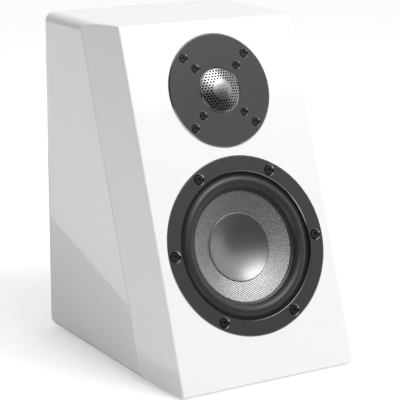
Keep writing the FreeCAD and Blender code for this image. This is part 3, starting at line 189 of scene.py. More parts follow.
def between(tree, value, first, second):
    """A colour between two, by a value from 0 to 1."""
    inputs = {0: value, 6: (*first, 1.0), 7: (*second, 1.0)}
    return add(tree, "ShaderNodeMix", inputs, data_type="RGBA").outputs[2]


def bump(tree, shader, height, distance, strength=1.0):
    """Lets a height value tilt the light on a surface."""
    inputs = {"Height": height, "Distance": distance, "Strength": strength}
    tree.links.new(add(tree, "ShaderNodeBump", inputs).outputs["Normal"],
                   shader.inputs["Normal"])


def gloss(shader, **values):
    """Sets the shader's own even values, named by their sockets."""
    for key, value in values.items():
        shader.inputs[key.replace("_", " ")].default_value = value


# %% [markdown]
# ## Floor and light
# A white studio: a pale floor, a large soft light high over the front, and a sky that is white
# in front and above but grey on the left, so that the left wall of the cabinet reads as grey.
# Three cards are seen only in gloss, so they cast no shadow. A grey one beside the cabinet
# draws the one slanting reflection that shows the side is polished. Two dark ones, on the floor
# in front and standing behind it, give the dished cone and dust cap their dark upper halves.

# %% Floor, backdrop and light
FLOOR_SIZE = 8.0
FLOOR_TINT = (0.95, 0.95, 0.955)
FLOOR_LIFT = 0.28
SKY_LEFT = 0.0
SKY_REST = 1.14
KEY_POWER = 19.0
KEY_PLACE = (0.45, -1.05, 1.85)
KEY_SIZE = (1.3, 1.0)
CARD_LINE = ((-0.4225, 1.0), (-0.1043, -0.3))
CARD_RIGHT = 0.25
FRONT_CARD = ((-2.5, -4.0), (2.5, -4.0), (2.5, -0.3), (-0.1043, -0.3))
FRONT_WALL = (3.4, -3.0, 1.8)
FRONT_TINT = (0.03, 0.03, 0.03)
CARD_LIFT = 2 * MM
SIDE_TINT = (0.45, 0.45, 0.46)


def flat_panel(name, corners):
    """A flat sheet of the studio, which is no part of the speaker."""
    mesh = bpy.data.meshes.new(name)
    mesh.from_pydata(corners, [], [range(len(corners))])
    item = bpy.data.objects.new(name, mesh)
    bpy.context.scene.collection.objects.link(item)
    return item


def studio_floor():
    half = FLOOR_SIZE / 2
    item = flat_panel("floor", [(-half, -half, 0), (half, -half, 0), (half, half, 0),
                                (-half, half, 0)])
    material, tree, shader = shader_tree("floor_paper")
    tone = [value * 0.985 for value in FLOOR_TINT]
    tree.links.new(between(tree, noise(tree, 12.0), tone, FLOOR_TINT), shader.inputs["Base Color"])
    gloss(shader, Roughness=0.8, Emission_Color=(1, 1, 1, 1), Emission_Strength=FLOOR_LIFT)
    item.data.materials.append(material)


def reflected_card(name, corners, tint):
    """A card that only gloss sees."""
    item = flat_panel(name, corners)
    material, tree, shader = shader_tree(name + "_paper")
    tone = [value * 0.9 for value in tint]
    tree.links.new(between(tree, noise(tree, 12.0), tone, tint), shader.inputs["Base Color"])
    item.data.materials.append(material)
    item.visible_camera = False
    item.visible_diffuse = False
    item.visible_shadow = False


def soft_sky():
    """White all round, but grey on the left."""
    world = bpy.data.worlds.new("studio")
    bpy.context.scene.world = world
    world.use_nodes = True
    tree = world.node_tree
    tree.nodes.clear()
    way = add(tree, "ShaderNodeTexCoord").outputs["Generated"]
    across = add(tree, "ShaderNodeSeparateXYZ", {"Vector": way}).outputs["X"]
    ramp = add(tree, "ShaderNodeMapRange",
               {"Value": across, "From Min": -0.8, "From Max": 0.0,
                "To Min": SKY_LEFT, "To Max": SKY_REST}, interpolation_type="SMOOTHSTEP")
    background = add(tree, "ShaderNodeBackground", {"Strength": ramp.outputs["Result"]})
    add(tree, "ShaderNodeOutputWorld", {"Surface": background.outputs["Background"]})


def soft_light(name, place, size, power):
    """A large panel of light that faces the middle of the speaker."""
    data = bpy.data.lights.new(name, "AREA")
    data.shape = "RECTANGLE"
    data.size, data.size_y = size
    data.energy = power
    item = bpy.data.objects.new(name, data)
    bpy.context.scene.collection.objects.link(item)
    turn = (AIM - Vector(place)).to_track_quat("-Z", "Y").to_matrix().to_4x4()
    item.matrix_world = Matrix.Translation(Vector(place)) @ turn


bpy.context.scene.view_settings.view_transform = "Standard"
soft_sky()
studio_floor()
(far_x, far_y), (near_x, near_y) = CARD_LINE
lying = [(near_x, near_y), (CARD_RIGHT, near_y), (CARD_RIGHT, far_y), (far_x, far_y)]
reflected_card("side_card", [(x, y, CARD_LIFT) for x, y in lying], SIDE_TINT)
reflected_card("front_card", [(x, y, CARD_LIFT) for x, y in FRONT_CARD], FRONT_TINT)
wide, deep, high = FRONT_WALL
reflected_card("front_wall", [(-wide, deep, 0), (wide, deep, 0), (wide, deep, high),
                              (-wide, deep, high)], FRONT_TINT)
soft_light("key", KEY_PLACE, KEY_SIZE, KEY_POWER)
print("studio ready")

# %% [markdown]
# ## Plain finishes
# Every finish is a small recipe: a colour that wanders a little, a roughness that wanders a
# little, and a fine bump at the grain's own size. What is the same all over is set on the
# shader itself, so that it survives an export.

# %% The general recipe
def finish(name, colour, rough, metal=0.0, grain=900.0, depth=0.02, wander=0.06,
           rough_wander=0.06, coat=0.0, coat_rough=0.05):
    """A moulded, cast, painted or turned surface; depth is its grain's height in mm."""
    material, tree, shader = shader_tree(name)
    broad = noise(tree, 45.0)
    darker = [value * (1 - wander) for value in colour]
    lighter = [min(1.0, value * (1 + wander)) for value in colour]
    tree.links.new(between(tree, broad, darker, lighter), shader.inputs["Base Color"])
    tree.links.new(spread(tree, broad, rough - rough_wander, rough + rough_wander),
                   shader.inputs["Roughness"])
    gloss(shader, Metallic=metal, Coat_Weight=coat, Coat_Roughness=coat_rough)
    bump(tree, shader, noise(tree, grain, 2.0), depth * MM)
    return material


FINISHES = {
    "white_lacquer": finish("white_lacquer", (0.86, 0.865, 0.87), 0.25, grain=160.0,
                            depth=0.006, wander=0.006, rough_wander=0.02, coat=1.0,
                            coat_rough=0.02),
    "bare_board": finish("bare_board", (0.5, 0.37, 0.24), 0.8, grain=1500.0, depth=0.15,
                         wander=0.15),
    "grey_foam": finish("grey_foam", (0.09, 0.09, 0.1), 0.93, grain=700.0, depth=0.6,
                        wander=0.2),
    "foot_rubber": finish("foot_rubber", (0.03, 0.03, 0.03), 0.7, depth=0.05),
    "plated_steel": finish("plated_steel", (0.66, 0.66, 0.68), 0.28, metal=1.0),
    "black_plastic": finish("black_plastic", (0.02, 0.02, 0.022), 0.5, grain=2600.0, depth=0.05),
    "brass": finish("brass", (0.72, 0.55, 0.26), 0.3, metal=1.0),
    "seal_foam": finish("seal_foam", (0.02, 0.02, 0.02), 0.9, depth=0.1),
    "roll_rubber": finish("roll_rubber", (0.03, 0.031, 0.032), 0.34, grain=2000.0,
                          depth=0.012, wander=0.08),
    "spider_cloth": finish("spider_cloth", (0.62, 0.5, 0.25), 0.85, grain=2500.0, depth=0.12,
                           wander=0.12),
    "zinc_steel": finish("zinc_steel", (0.6, 0.6, 0.62), 0.35, metal=1.0, wander=0.1),
    "ferrite": finish("ferrite", (0.045, 0.045, 0.05), 0.55, grain=1200.0, depth=0.06,
                      wander=0.15),
    "tinned_brass": finish("tinned_brass", (0.7, 0.69, 0.62), 0.32, metal=1.0),
    "black_screw": finish("black_screw", (0.012, 0.012, 0.013), 0.36, grain=3000.0),
    "grille_paint": finish("grille_paint", (0.42, 0.42, 0.425), 0.27, metal=0.95, grain=3000.0,
                           depth=0.008),
    "soft_roll": finish("soft_roll", (0.008, 0.008, 0.008), 0.5, depth=0.03),
    "plated_brass": finish("plated_brass", (0.83, 0.62, 0.28), 0.22, metal=1.0),
    "circuit_board": finish("circuit_board", (0.02, 0.12, 0.045), 0.35, grain=1800.0,
                            depth=0.04, coat=0.3),
    "nylon": finish("nylon", (0.78, 0.77, 0.7), 0.5),
    "copper_wire": finish("copper_wire", (0.66, 0.25, 0.09), 0.3, metal=0.9, coat=0.4),
    "capacitor_film": finish("capacitor_film", (0.7, 0.45, 0.05), 0.3, coat=0.3),
    "ceramic_white": finish("ceramic_white", (0.8, 0.79, 0.75), 0.75, grain=1500.0, depth=0.1),
    "former_film": finish("former_film", (0.4, 0.18, 0.04), 0.3, coat=0.4),
    # Painted shade: the tweeter's dome is coloured near black, so the guard's holes read dark.
    "dome_metal": finish("dome_metal", (0.03, 0.03, 0.031), 0.3, metal=1.0),
    "red_plastic": finish("red_plastic", (0.5, 0.01, 0.012), 0.25, coat=0.6),
    "knob_black": finish("knob_black", (0.012, 0.012, 0.013), 0.25, coat=0.6),
}
print(len(FINISHES), "plain finishes")

# %% [markdown]
# ## Leads in two colours
# Each pair of leads has a red one and a black one. The red one is always on the side of the
# red post, so the piece's own x coordinate picks the colour.

# %% Lead sheath
def lead_sheath():
    material, tree, shader = shader_tree("lead_sheath")
    across = add(tree, "ShaderNodeSeparateXYZ", {"Vector": own_coords(tree)}).outputs["X"]
    red_side = calc(tree, "GREATER_THAN", across, 0.0)
    tree.links.new(between(tree, red_side, (0.015, 0.015, 0.016), (0.42, 0.012, 0.01)),
                   shader.inputs["Base Color"])
    tree.links.new(spread(tree, noise(tree, 300.0), 0.38, 0.5), shader.inputs["Roughness"])
    return material


FINISHES["lead_sheath"] = lead_sheath()

# %% [markdown]
# ## The woven cone
# The cone is pressed from a flat cloth of glass fibre. Its threads run straight up and straight
# across, whatever the slope of the cone, so the pattern is drawn on the driver's own flat
# coordinates. It is a twill: each thread passes over two and under two, one step on from its
# neighbour, which gives the slanting ribs. The upright and the level threads shine in
# different directions, so their roughness and height differ, and their colours differ as a
# painted sheen: the upright threads are painted lighter than the level ones.
#
# The woofer's frame and the tweeter's plate are painted, and their bevels are then cut bright.
# A face is a bevel if it slants against the driver's axis.

# %% Cone cloth and painted castings
THREAD = 0.75
TWILL_REPEAT = 4.0
TWILL_OVER = 1.5
# Painted sheen: the upright threads are coloured lighter than the level ones of the same cloth.
UPRIGHT_GREY_AND_PAINTED_SHEEN = (0.46, 0.46, 0.465)
LEVEL_GREY_AND_PAINTED_SHEEN = (0.26, 0.26, 0.265)
CLOTH_DEPTH = 0.09
BEVEL_FACING = (0.35, 0.93)
# Painted shade: below WELL_START the frame and plate turn near black, in the moat and wells.
WELL_START = 0.85
WELL_PAINTED_SHADE = (0.008, 0.008, 0.008)
CUT_TINT = (0.42, 0.42, 0.42)


def driver_coords(tree, matrix):
    """The driver's own flat coordinates, read from the piece's coordinates."""
    inputs = {"Vector": own_coords(tree), "Location": matrix.translation,
              "Rotation": matrix.to_3x3().normalized().to_euler(), "Scale": (MM, MM, MM)}
    moved = add(tree, "ShaderNodeMapping", inputs, vector_type="TEXTURE").outputs["Vector"]
    return add(tree, "ShaderNodeSeparateXYZ", {"Vector": moved}).outputs


def hump(tree, value):
    """A rounded ridge over each whole step of a value."""
    part = calc(tree, "FRACT", value)
    centred = calc(tree, "SUBTRACT", calc(tree, "MULTIPLY", part, 2.0), 1.0)
    return calc(tree, "SUBTRACT", 1.0, calc(tree, "MULTIPLY", centred, centred))


def painted_casting(name, colour, matrix):
    """Painted metal with bevels cut bright; below its face, painted shade in the wells."""
    material, tree, shader = shader_tree(name)
    _, _, height = driver_coords(tree, matrix)
    normal = add(tree, "ShaderNodeTexCoord").outputs["Normal"]
    outward = matrix.col[2].to_3d().normalized()
    facing = add(tree, "ShaderNodeVectorMath", {0: normal, 1: outward},
                 operation="DOT_PRODUCT").outputs["Value"]
    slanted = calc(tree, "MULTIPLY", calc(tree, "GREATER_THAN", facing, BEVEL_FACING[0]),
                   calc(tree, "LESS_THAN", facing, BEVEL_FACING[1]))
    cut = calc(tree, "MULTIPLY", slanted, calc(tree, "GREATER_THAN", height, -WELL_START))
    # Painted shade: deeper than WELL_START the colour is near black, for the dark moat and wells.
    deep = calc(tree, "LESS_THAN", height, -WELL_START)
    broad = noise(tree, 45.0)
    paint = between(tree, broad, [value * 0.95 for value in colour],
                    [value * 1.05 for value in colour])
    shaded = add(tree, "ShaderNodeMix", {0: deep, 6: paint, 7: (*WELL_PAINTED_SHADE, 1.0)},
                 data_type="RGBA").outputs[2]
    whole = add(tree, "ShaderNodeMix", {0: cut, 6: shaded, 7: (*CUT_TINT, 1.0)},
                data_type="RGBA").outputs[2]
    tree.links.new(whole, shader.inputs["Base Color"])
    tree.links.new(cut, shader.inputs["Metallic"])
    rough = calc(tree, "ADD", spread(tree, broad, 0.39, 0.45), calc(tree, "MULTIPLY", cut, -0.2))
    tree.links.new(rough, shader.inputs["Roughness"])
    bump(tree, shader, noise(tree, 3200.0, 2.0), 0.018 * MM)
    return material


def cone_cloth():
    material, tree, shader = shader_tree("cone_weave")
    x, y, _ = driver_coords(tree, WOOFER)
    across = calc(tree, "DIVIDE", x, THREAD)
    up = calc(tree, "DIVIDE", y, THREAD)
    step = calc(tree, "ADD", calc(tree, "FLOOR", across), calc(tree, "FLOOR", up))
    level_on_top = calc(tree, "GREATER_THAN",
                        calc(tree, "FLOORED_MODULO", step, TWILL_REPEAT), TWILL_OVER)
    upright = calc(tree, "MULTIPLY", hump(tree, across), calc(tree, "SUBTRACT", 1.0, level_on_top))
    level = calc(tree, "MULTIPLY", hump(tree, up), level_on_top)
    height = calc(tree, "ADD", upright, level)
    # The two thread colours are a painted sheen.
    tree.links.new(between(tree, level_on_top, UPRIGHT_GREY_AND_PAINTED_SHEEN, LEVEL_GREY_AND_PAINTED_SHEEN),
                   shader.inputs["Base Color"])
    tree.links.new(spread(tree, level_on_top, 0.26, 0.36), shader.inputs["Roughness"])
    gloss(shader, Metallic=0.85, Coat_Weight=0.1, Coat_Roughness=0.2)
    bump(tree, shader, height, CLOTH_DEPTH * MM)
    return material


FINISHES["cone_weave"] = cone_cloth()
FINISHES["frame_paint"] = painted_casting("frame_paint", (0.034, 0.034, 0.035), WOOFER)
FINISHES["plate_paint"] = painted_casting("plate_paint", (0.048, 0.048, 0.049), TWEETER)

# %% [markdown]
# ## Dress the parts of the design model
# The record names a finish for each part, so one loop can dress them all.

# %% Dress the parts
def dress(node, material):
    """Puts a finish on a part's material slots and leaves its mesh alone."""
    item = frame["nodes"][node]
    if not item.material_slots:
        item.data.materials.append(material)
    for slot in item.material_slots:
        slot.material = material


SLOTS = {entry["node"]: entry["material_slot"] for entry in frame["record"]["subparts"]}
for node_name, slot_name in SLOTS.items():
    dress(node_name, FINISHES[slot_name])
print("dressed", len(SLOTS), "parts")

# %% [markdown]
# ## Turned pieces
# The cone, the rolls and the dust cap are all round, so each is one closed outline turned about
# the driver's axis. An outline is a list of (radius, height) corners; a bulge between two of
# them is an arc with a given rise. The turning makes the mesh, its doubled points on the axis
# are merged, and the normals are made to face outwards.

# %% Outlines and turning
def arc(start, end, rise, steps=14):
    """Points after start, up to end, on an arc that rises to the left of the way."""
    begin, finish_point = Vector(start), Vector(end)
    chord = finish_point - begin
    left = Vector((-chord.y, chord.x)).normalized()
    radius = (chord.length_squared / 4 + rise * rise) / (2 * abs(rise))
    side = math.copysign(1.0, rise)
    centre = (begin + finish_point) / 2 + left * (rise - side * radius)
    half = math.asin(min(1.0, chord.length / 2 / radius))
    along = chord.normalized()
    points = []
    for step in range(1, steps + 1):
        angle = half * (2 * step / steps - 1)
        offset = along * math.sin(angle) + left * side * math.cos(angle)
        points.append(tuple(centre + offset * radius))
    return points


def mesh_piece(name, shape, matrix, material, sharp=35.0):
    """A finished object at the origin from a bmesh in a frame's own coordinates."""
    bmesh.ops.remove_doubles(shape, verts=shape.verts, dist=0.0005)
    bmesh.ops.transform(shape, matrix=matrix, verts=shape.verts)
    bmesh.ops.recalc_face_normals(shape, faces=shape.faces)
    mesh = bpy.data.meshes.new(name)
    shape.to_mesh(mesh)
    shape.free()
    mesh.polygons.foreach_set("use_smooth", [True] * len(mesh.polygons))
    mesh.set_sharp_from_angle(angle=math.radians(sharp))
    mesh.materials.append(material)
    item = bpy.data.objects.new(name, mesh)
    bpy.context.scene.collection.objects.link(item)
    return item


def turn_outline(shape, outline, steps):
    """Adds a closed outline, turned about the z axis, to a bmesh."""
    rings = []
    for step in range(steps):
        angle = math.tau * step / steps
        rings.append([shape.verts.new((radius * math.cos(angle), radius * math.sin(angle), height))
                      for radius, height in outline])
    for ring, after in zip(rings, rings[1:] + rings[:1]):
        for near in range(len(outline)):
            far = (near + 1) % len(outline)
            shape.faces.new((ring[near], after[near], after[far], ring[far]))


def turned(name, outline, matrix, material, steps=180):
    """One turned piece."""
    shape = bmesh.new()
    turn_outline(shape, outline, steps)
    return mesh_piece(name, shape, matrix, material)


def stand_for(item, node, body):
    """Lets a new piece take a part's place: it joins the part's body, and the part is hidden."""
    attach(item, body)
    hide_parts(node)
    print(item.name, "stands for", node, "with", len(item.data.polygons), "faces")


# %% [markdown]
# ## Cone and dust cap
# The cone runs from just under the roll's lip down to the coil's tube. The dust cap is a
# shallow dish glued over its middle, with a small foot on the cone and a rounded edge, which
# gives the fine dark line round it. Their heights are read from the design model's parts.

# %% Cone and dust cap
SHEET = 0.8
LIP_RADIUS = 54.5
CAP_RADIUS = 33.0
CAP_FOOT = 1.2
CAP_SAG = 6.3
CAP_CROWN = CAP_SAG * 0.25
CAP_STEPS = 24
CAP_EDGE = 0.4
cone_low, cone_high = span("woofer_cone", WOOFER)
cap_low = span("woofer_dust_cap", WOOFER)[0]
former_radius = span("woofer_coil_former", WOOFER)[1].x
cone_at_edge = cone_high.z
cone_at_lip = cone_at_edge - SHEET
cone_at_cap = cap_low.z + CAP_SAG
cone_at_neck = cone_low.z + SHEET
print("cone heights in mm:", [round(value, 2) for value in
                              (cone_at_edge, cone_at_lip, cone_at_cap, cone_at_neck)])

upper_face = [(cone_high.x, cone_at_edge), (LIP_RADIUS, cone_at_lip), (CAP_RADIUS, cone_at_cap),
              (former_radius, cone_at_neck)]
lower_face = [(radius, height - SHEET) for radius, height in reversed(upper_face)]
cone = turned("woven_cone", upper_face + lower_face, WOOFER, FINISHES["cone_weave"])
stand_for(cone, "woofer_cone", "woofer_diaphragm")


def cap_paper():
    """Smooth coated paper, a little rougher where the press has stretched it."""
    material, tree, shader = shader_tree("cap_paper")
    tree.links.new(between(tree, noise(tree, 60.0), (0.25, 0.25, 0.253), (0.28, 0.28, 0.283)),
                   shader.inputs["Base Color"])
    tree.links.new(spread(tree, noise(tree, 90.0), 0.28, 0.33), shader.inputs["Roughness"])
    gloss(shader, Metallic=0.85, Coat_Weight=0.1, Coat_Roughness=0.3)
    bump(tree, shader, noise(tree, 1400.0, 2.0), 0.01 * MM)
    return material


foot_slope = (cone_at_lip - cone_at_cap) / (LIP_RADIUS - CAP_RADIUS)
foot_radius = CAP_RADIUS + CAP_FOOT
foot_height = cone_at_cap + CAP_FOOT * foot_slope
cap_outline = ([(0.0, cap_low.z)]
               + arc((0.0, cap_low.z), (CAP_RADIUS, cone_at_cap),
                     -CAP_CROWN, CAP_STEPS)
               + [(foot_radius, foot_height), (foot_radius, foot_height + SHEET * 0.55),
                  (foot_radius - 0.25, foot_height + SHEET * 0.9),
                  (foot_radius - 0.7, foot_height + SHEET),
                  (CAP_RADIUS - CAP_EDGE, cone_at_cap + SHEET)]
               + arc((CAP_RADIUS - CAP_EDGE, cone_at_cap + SHEET), (0.0, cap_low.z + SHEET),
                     CAP_CROWN, CAP_STEPS))
cap = turned("dished_dust_cap", cap_outline, WOOFER, cap_paper())
stand_for(cap, "woofer_dust_cap", "woofer_diaphragm")

# %% [markdown]
# ## The rubber roll
# The roll joins the frame, which stands still, to the cone, which moves: its outer foot stays
# and its inner lip moves. It is turned like the cone, and the design part it replaces is hidden.

# %% Round pieces between a still body and a moving one
def bends(item, node, mover, matrix, fixed_radius, moving_radius):
    """Bakes a round piece into place and hides the part it stands for.

    Each point's share of the way from fixed_radius to moving_radius is worked out but not kept.
    """
    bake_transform(item)
    inverse = matrix.inverted()
    for vertex in item.data.vertices:
        place = inverse @ vertex.co
        share = (fixed_radius - math.hypot(place.x, place.y)) / (fixed_radius - moving_radius)
        share = min(1.0, max(0.0, share))
    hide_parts(node)
    print(item.name, "bends between the cabinet and", mover)


ROLL_OUTER = 69.5
ROLL_INNER = 57.0
ROLL_RISE = 4.4
ROLL_DROP = 4.0
LEDGE_TOP = -2.2
ROLL_STEPS = 24
ROLL_TURN = 220
ROLL_BLACK = (0.03, 0.031, 0.032)
# Painted shade: the roll's outer foot, deep in the moat, is coloured near black.
FOOT_PAINTED_SHADE = (0.004, 0.004, 0.004)
FOOT_START, FOOT_FULL = ROLL_OUTER - 0.4, ROLL_OUTER + 0.3
surround_high = span("woofer_surround", WOOFER)[1]
roll_foot = LEDGE_TOP - ROLL_DROP
lip_height = roll_foot - SHEET
under_outer = (ROLL_OUTER - SHEET, LEDGE_TOP - SHEET)
under_inner = (ROLL_INNER + SHEET, roll_foot - SHEET)
roll_outline = ([(surround_high.x, LEDGE_TOP), (ROLL_OUTER, LEDGE_TOP)]
                + arc((ROLL_OUTER, LEDGE_TOP), (ROLL_INNER, roll_foot), -ROLL_RISE, ROLL_STEPS)
                + [(LIP_RADIUS + 0.5, lip_height + 0.16), (LIP_RADIUS + 0.12, lip_height - 0.1),
                   (LIP_RADIUS, lip_height - SHEET / 2), (LIP_RADIUS, lip_height - SHEET),
                   under_inner]
                + arc(under_inner, under_outer, ROLL_RISE - SHEET, ROLL_STEPS)
                + [(surround_high.x, LEDGE_TOP - SHEET)])


def roll_rubber():
    """Butyl rubber. Its flat outer foot, under the frame's lip, is dull.

    The foot is also coloured near black: painted shade in the moat.
    """
    material, tree, shader = shader_tree("roll_rubber")
    x, y, _ = driver_coords(tree, WOOFER)
    squares = calc(tree, "ADD", calc(tree, "MULTIPLY", x, x), calc(tree, "MULTIPLY", y, y))
    radius = calc(tree, "SQRT", squares)
    foot = spread(tree, radius, 0.0, 1.0, FOOT_START, FOOT_FULL)
    # Painted shade: towards the foot the colour blends to near black.
    tree.links.new(between(tree, foot, ROLL_BLACK, FOOT_PAINTED_SHADE), shader.inputs["Base Color"])
    shine = calc(tree, "ADD", spread(tree, foot, 0.34, 0.9),
                 spread(tree, noise(tree, 200.0), -0.04, 0.04))
    tree.links.new(shine, shader.inputs["Roughness"])
    bump(tree, shader, noise(tree, 2000.0, 2.0), 0.012 * MM)
    return material


roll = turned("rubber_roll", roll_outline, WOOFER, roll_rubber(), ROLL_TURN)
bends(roll, "woofer_surround", "woofer_diaphragm", WOOFER, ROLL_OUTER, ROLL_INNER)

# %% [markdown]
# ## Spider and the tweeter's roll
# The spider is the corrugated cloth disc that keeps the voice coil centred. Like the roll, its
# outer rim is glued to the frame and its neck to the coil's tube. The tweeter's dome hangs in a
# small soft roll of the same kind.

# %% Spider and tweeter roll
SPIDER_WAVES = 6
SPIDER_RISE = 1.2
SPIDER_NECK = 2.5
SPIDER_FLAT = 5.5
CLOTH_HALF = 0.4
WAVE_STEPS = 8
SOFT_STEPS = 18
FINE_TURN = 140
spider_low, spider_high = span("woofer_spider", WOOFER)
spider_middle = (spider_low.z + spider_high.z) / 2
wave_start = former_radius + SPIDER_NECK
wave_end = spider_high.x - SPIDER_FLAT
wave = (wave_end - wave_start) / SPIDER_WAVES


def spider_face(lift):
    """One face of the cloth, from the neck to the rim."""
    height = spider_middle + lift
    points = [(former_radius, height), (wave_start, height)]
    for index in range(SPIDER_WAVES):
        side = 1 if index % 2 else -1
        start = (wave_start + wave * index, height)
        end = (wave_start + wave * (index + 1), height)
        points += arc(start, end, side * SPIDER_RISE, WAVE_STEPS)
    return points + [(spider_high.x, height)]


spider = turned("corrugated_spider",
                spider_face(-CLOTH_HALF) + spider_face(CLOTH_HALF)[::-1],
                WOOFER, FINISHES["spider_cloth"], FINE_TURN)
bends(spider, "woofer_spider", "woofer_diaphragm", WOOFER, spider_high.x, former_radius)

SOFT_SHEET = 0.5
SOFT_RISE = 1.6
SOFT_OUTER = 18.2
SOFT_INNER = 13.0
soft_low, soft_high = span("tweeter_surround", TWEETER)
soft_top = soft_low.z + SOFT_SHEET
soft_outline = ([(soft_high.x, soft_top), (SOFT_OUTER, soft_top)]
                + arc((SOFT_OUTER, soft_top), (SOFT_INNER, soft_top), -SOFT_RISE, SOFT_STEPS)
                + [(SOFT_INNER, soft_low.z)]
                + arc((SOFT_INNER, soft_low.z), (SOFT_OUTER, soft_low.z), SOFT_RISE,
                      SOFT_STEPS)
                + [(soft_high.x, soft_low.z)])
soft_roll = turned("tweeter_soft_roll", soft_outline, TWEETER, FINISHES["soft_roll"], FINE_TURN)
bends(soft_roll, "tweeter_surround", "tweeter_diaphragm", TWEETER, SOFT_OUTER, SOFT_INNER)

# %% [markdown]
# ## Geometry Nodes
# What repeats is grown by a node tree: the tree makes one copy, and sets it on every point of a
# small base mesh. The tree is built here in code, with a named input for each size. Its result
# is turned into a plain mesh, so that nothing live is left on a finished piece.

# %% Helpers for Geometry Nodes
def growing_tree(name, sizes):
    """A new tree with a named number for each size, and its input and output nodes."""
    tree = bpy.data.node_groups.new(name, "GeometryNodeTree")
    tree.interface.new_socket("Geometry", in_out="INPUT", socket_type="NodeSocketGeometry")
    for label, value in sizes.items():
        kind = "NodeSocketInt" if isinstance(value, int) else "NodeSocketFloat"
        tree.interface.new_socket(label, in_out="INPUT", socket_type=kind)
    tree.interface.new_socket("Geometry", in_out="OUTPUT", socket_type="NodeSocketGeometry")
    return tree, tree.nodes.new("NodeGroupInput").outputs


def finish_tree(tree, geometry, material):
    """Ends a tree: real copies, with a material set."""
    real = add(tree, "GeometryNodeRealizeInstances", {"Geometry": geometry}).outputs[0]
    set_finish = add(tree, "GeometryNodeSetMaterial", {"Geometry": real, "Material": material})
    add(tree, "NodeGroupOutput", {"Geometry": set_finish.outputs[0]})


def grown(name, tree, points, sizes, matrix, material):
    """Runs a tree on some points and returns its result as a finished plain mesh."""
    base = bpy.data.meshes.new(name + "_points")
    base.from_pydata(points, [], [])
    carrier = bpy.data.objects.new(name + "_carrier", base)
    bpy.context.scene.collection.objects.link(carrier)
    modifier = carrier.modifiers.new("grow", "NODES")
    modifier.node_group = tree
    for socket in tree.interface.items_tree:
        if socket.item_type == "SOCKET" and socket.in_out == "INPUT" and socket.name in sizes:
            modifier[socket.identifier] = sizes[socket.name]
    seen = carrier.evaluated_get(bpy.context.evaluated_depsgraph_get())
    result = bpy.data.meshes.new_from_object(seen)
    bpy.data.objects.remove(carrier)
    shape = bmesh.new()
    shape.from_mesh(result)
    return mesh_piece(name, shape, matrix, material)


# %% [markdown]
# ## Socket-head screws
# Each screw is one closed skin of rings, from the tip of its shank round its head and down
# into a six-sided socket. Rings up to the head's rim are round. In the socket the radius
# swells at the corners, by the rule for a hexagon, so the same rings turn six-sided. Each
# screw is turned a little differently, as a hand leaves them.

# %% Screws
SCREW_STEPS = 24
SCREW_SIZES = {"Head radius": 4.0, "Head height": 3.0, "Rim bevel": 0.5, "Socket flat": 1.9,
               "Socket depth": 2.0, "Shank radius": 2.0, "Length": 12.0, "Seed": 1}


def screw_tree():
    tree, size = growing_tree("socket_screw", SCREW_SIZES)
    bottom = calc(tree, "MULTIPLY", size["Head height"], -1.0)
    tip = calc(tree, "MULTIPLY", size["Length"], -1.0)
    under_rim = calc(tree, "MULTIPLY", size["Rim bevel"], -1.0)
    socket_floor = calc(tree, "MULTIPLY", size["Socket depth"], -1.0)
    rim = calc(tree, "SUBTRACT", size["Head radius"], size["Rim bevel"])
    tip_radius = calc(tree, "MULTIPLY", size["Shank radius"], 0.8)
    tip_shoulder = calc(tree, "ADD", tip, 0.5)
    lead_in = calc(tree, "MULTIPLY", size["Socket flat"], 1.15)
    under_lead_in = calc(tree, "SUBTRACT", 0.0, 0.25)
    rings = [(0.0, tip), (tip_radius, tip), (size["Shank radius"], tip_shoulder),
             (size["Shank radius"], bottom), (size["Head radius"], bottom),
             (size["Head radius"], under_rim), (rim, 0.0), (lead_in, 0.0),
             (size["Socket flat"], under_lead_in), (size["Socket flat"], socket_floor),
             (0.0, calc(tree, "SUBTRACT", socket_floor, 0.3))]
    first_socket_ring = 7.5    # between ring 7, the round lead-in, and ring 8, the socket
    count = len(rings)
    sheet = add(tree, "GeometryNodeMeshGrid",
                {"Size X": 1.0, "Size Y": 1.0, "Vertices X": count,
                 "Vertices Y": SCREW_STEPS + 1}).outputs["Mesh"]
    place = add(tree, "GeometryNodeInputPosition").outputs[0]
    parts = add(tree, "ShaderNodeSeparateXYZ", {0: place}).outputs
    ring = calc(tree, "MULTIPLY", calc(tree, "ADD", parts["X"], 0.5), float(count - 1))
    angle = calc(tree, "MULTIPLY", calc(tree, "ADD", parts["Y"], 0.5), math.tau)
    whole = add(tree, "FunctionNodeFloatToInt", {0: ring}, rounding_mode="ROUND").outputs[0]
    picks = []
    for column in range(2):
        pick = add(tree, "GeometryNodeIndexSwitch", data_type="FLOAT")
        while len(pick.index_switch_items) < count:
            pick.index_switch_items.new()
        tree.links.new(whole, pick.inputs["Index"])
        for number, values in enumerate(rings):
            if isinstance(values[column], bpy.types.NodeSocket):
                tree.links.new(values[column], pick.inputs[number + 1])
            else:
                pick.inputs[number + 1].default_value = values[column]
        picks.append(pick.outputs[0])
    radius, height = picks
    swell = calc(tree, "DIVIDE", 1.0,
                 calc(tree, "COSINE", calc(tree, "PINGPONG", angle, math.pi / 6)))
    in_socket = calc(tree, "GREATER_THAN", ring, first_socket_ring)
    shaped = calc(tree, "MULTIPLY", radius, add(tree, "ShaderNodeMix", {
        "Factor": in_socket, 2: 1.0, 3: swell}, data_type="FLOAT").outputs[0])
    moved = add(tree, "ShaderNodeCombineXYZ", {
        "X": calc(tree, "MULTIPLY", shaped, calc(tree, "COSINE", angle)),
        "Y": calc(tree, "MULTIPLY", shaped, calc(tree, "SINE", angle)), "Z": height}).outputs[0]
    one = add(tree, "GeometryNodeSetPosition", {"Geometry": sheet, "Position": moved}).outputs[0]
    turns = add(tree, "FunctionNodeRandomValue", {2: 0.0, 3: math.tau, "Seed": size["Seed"]},
                data_type="FLOAT").outputs[1]
    turn = add(tree, "ShaderNodeCombineXYZ", {"Z": turns}).outputs[0]
    copies = add(tree, "GeometryNodeInstanceOnPoints", {
        "Points": size["Geometry"], "Instance": one, "Rotation": turn}).outputs[0]
    finish_tree(tree, copies, FINISHES["black_screw"])
    return tree


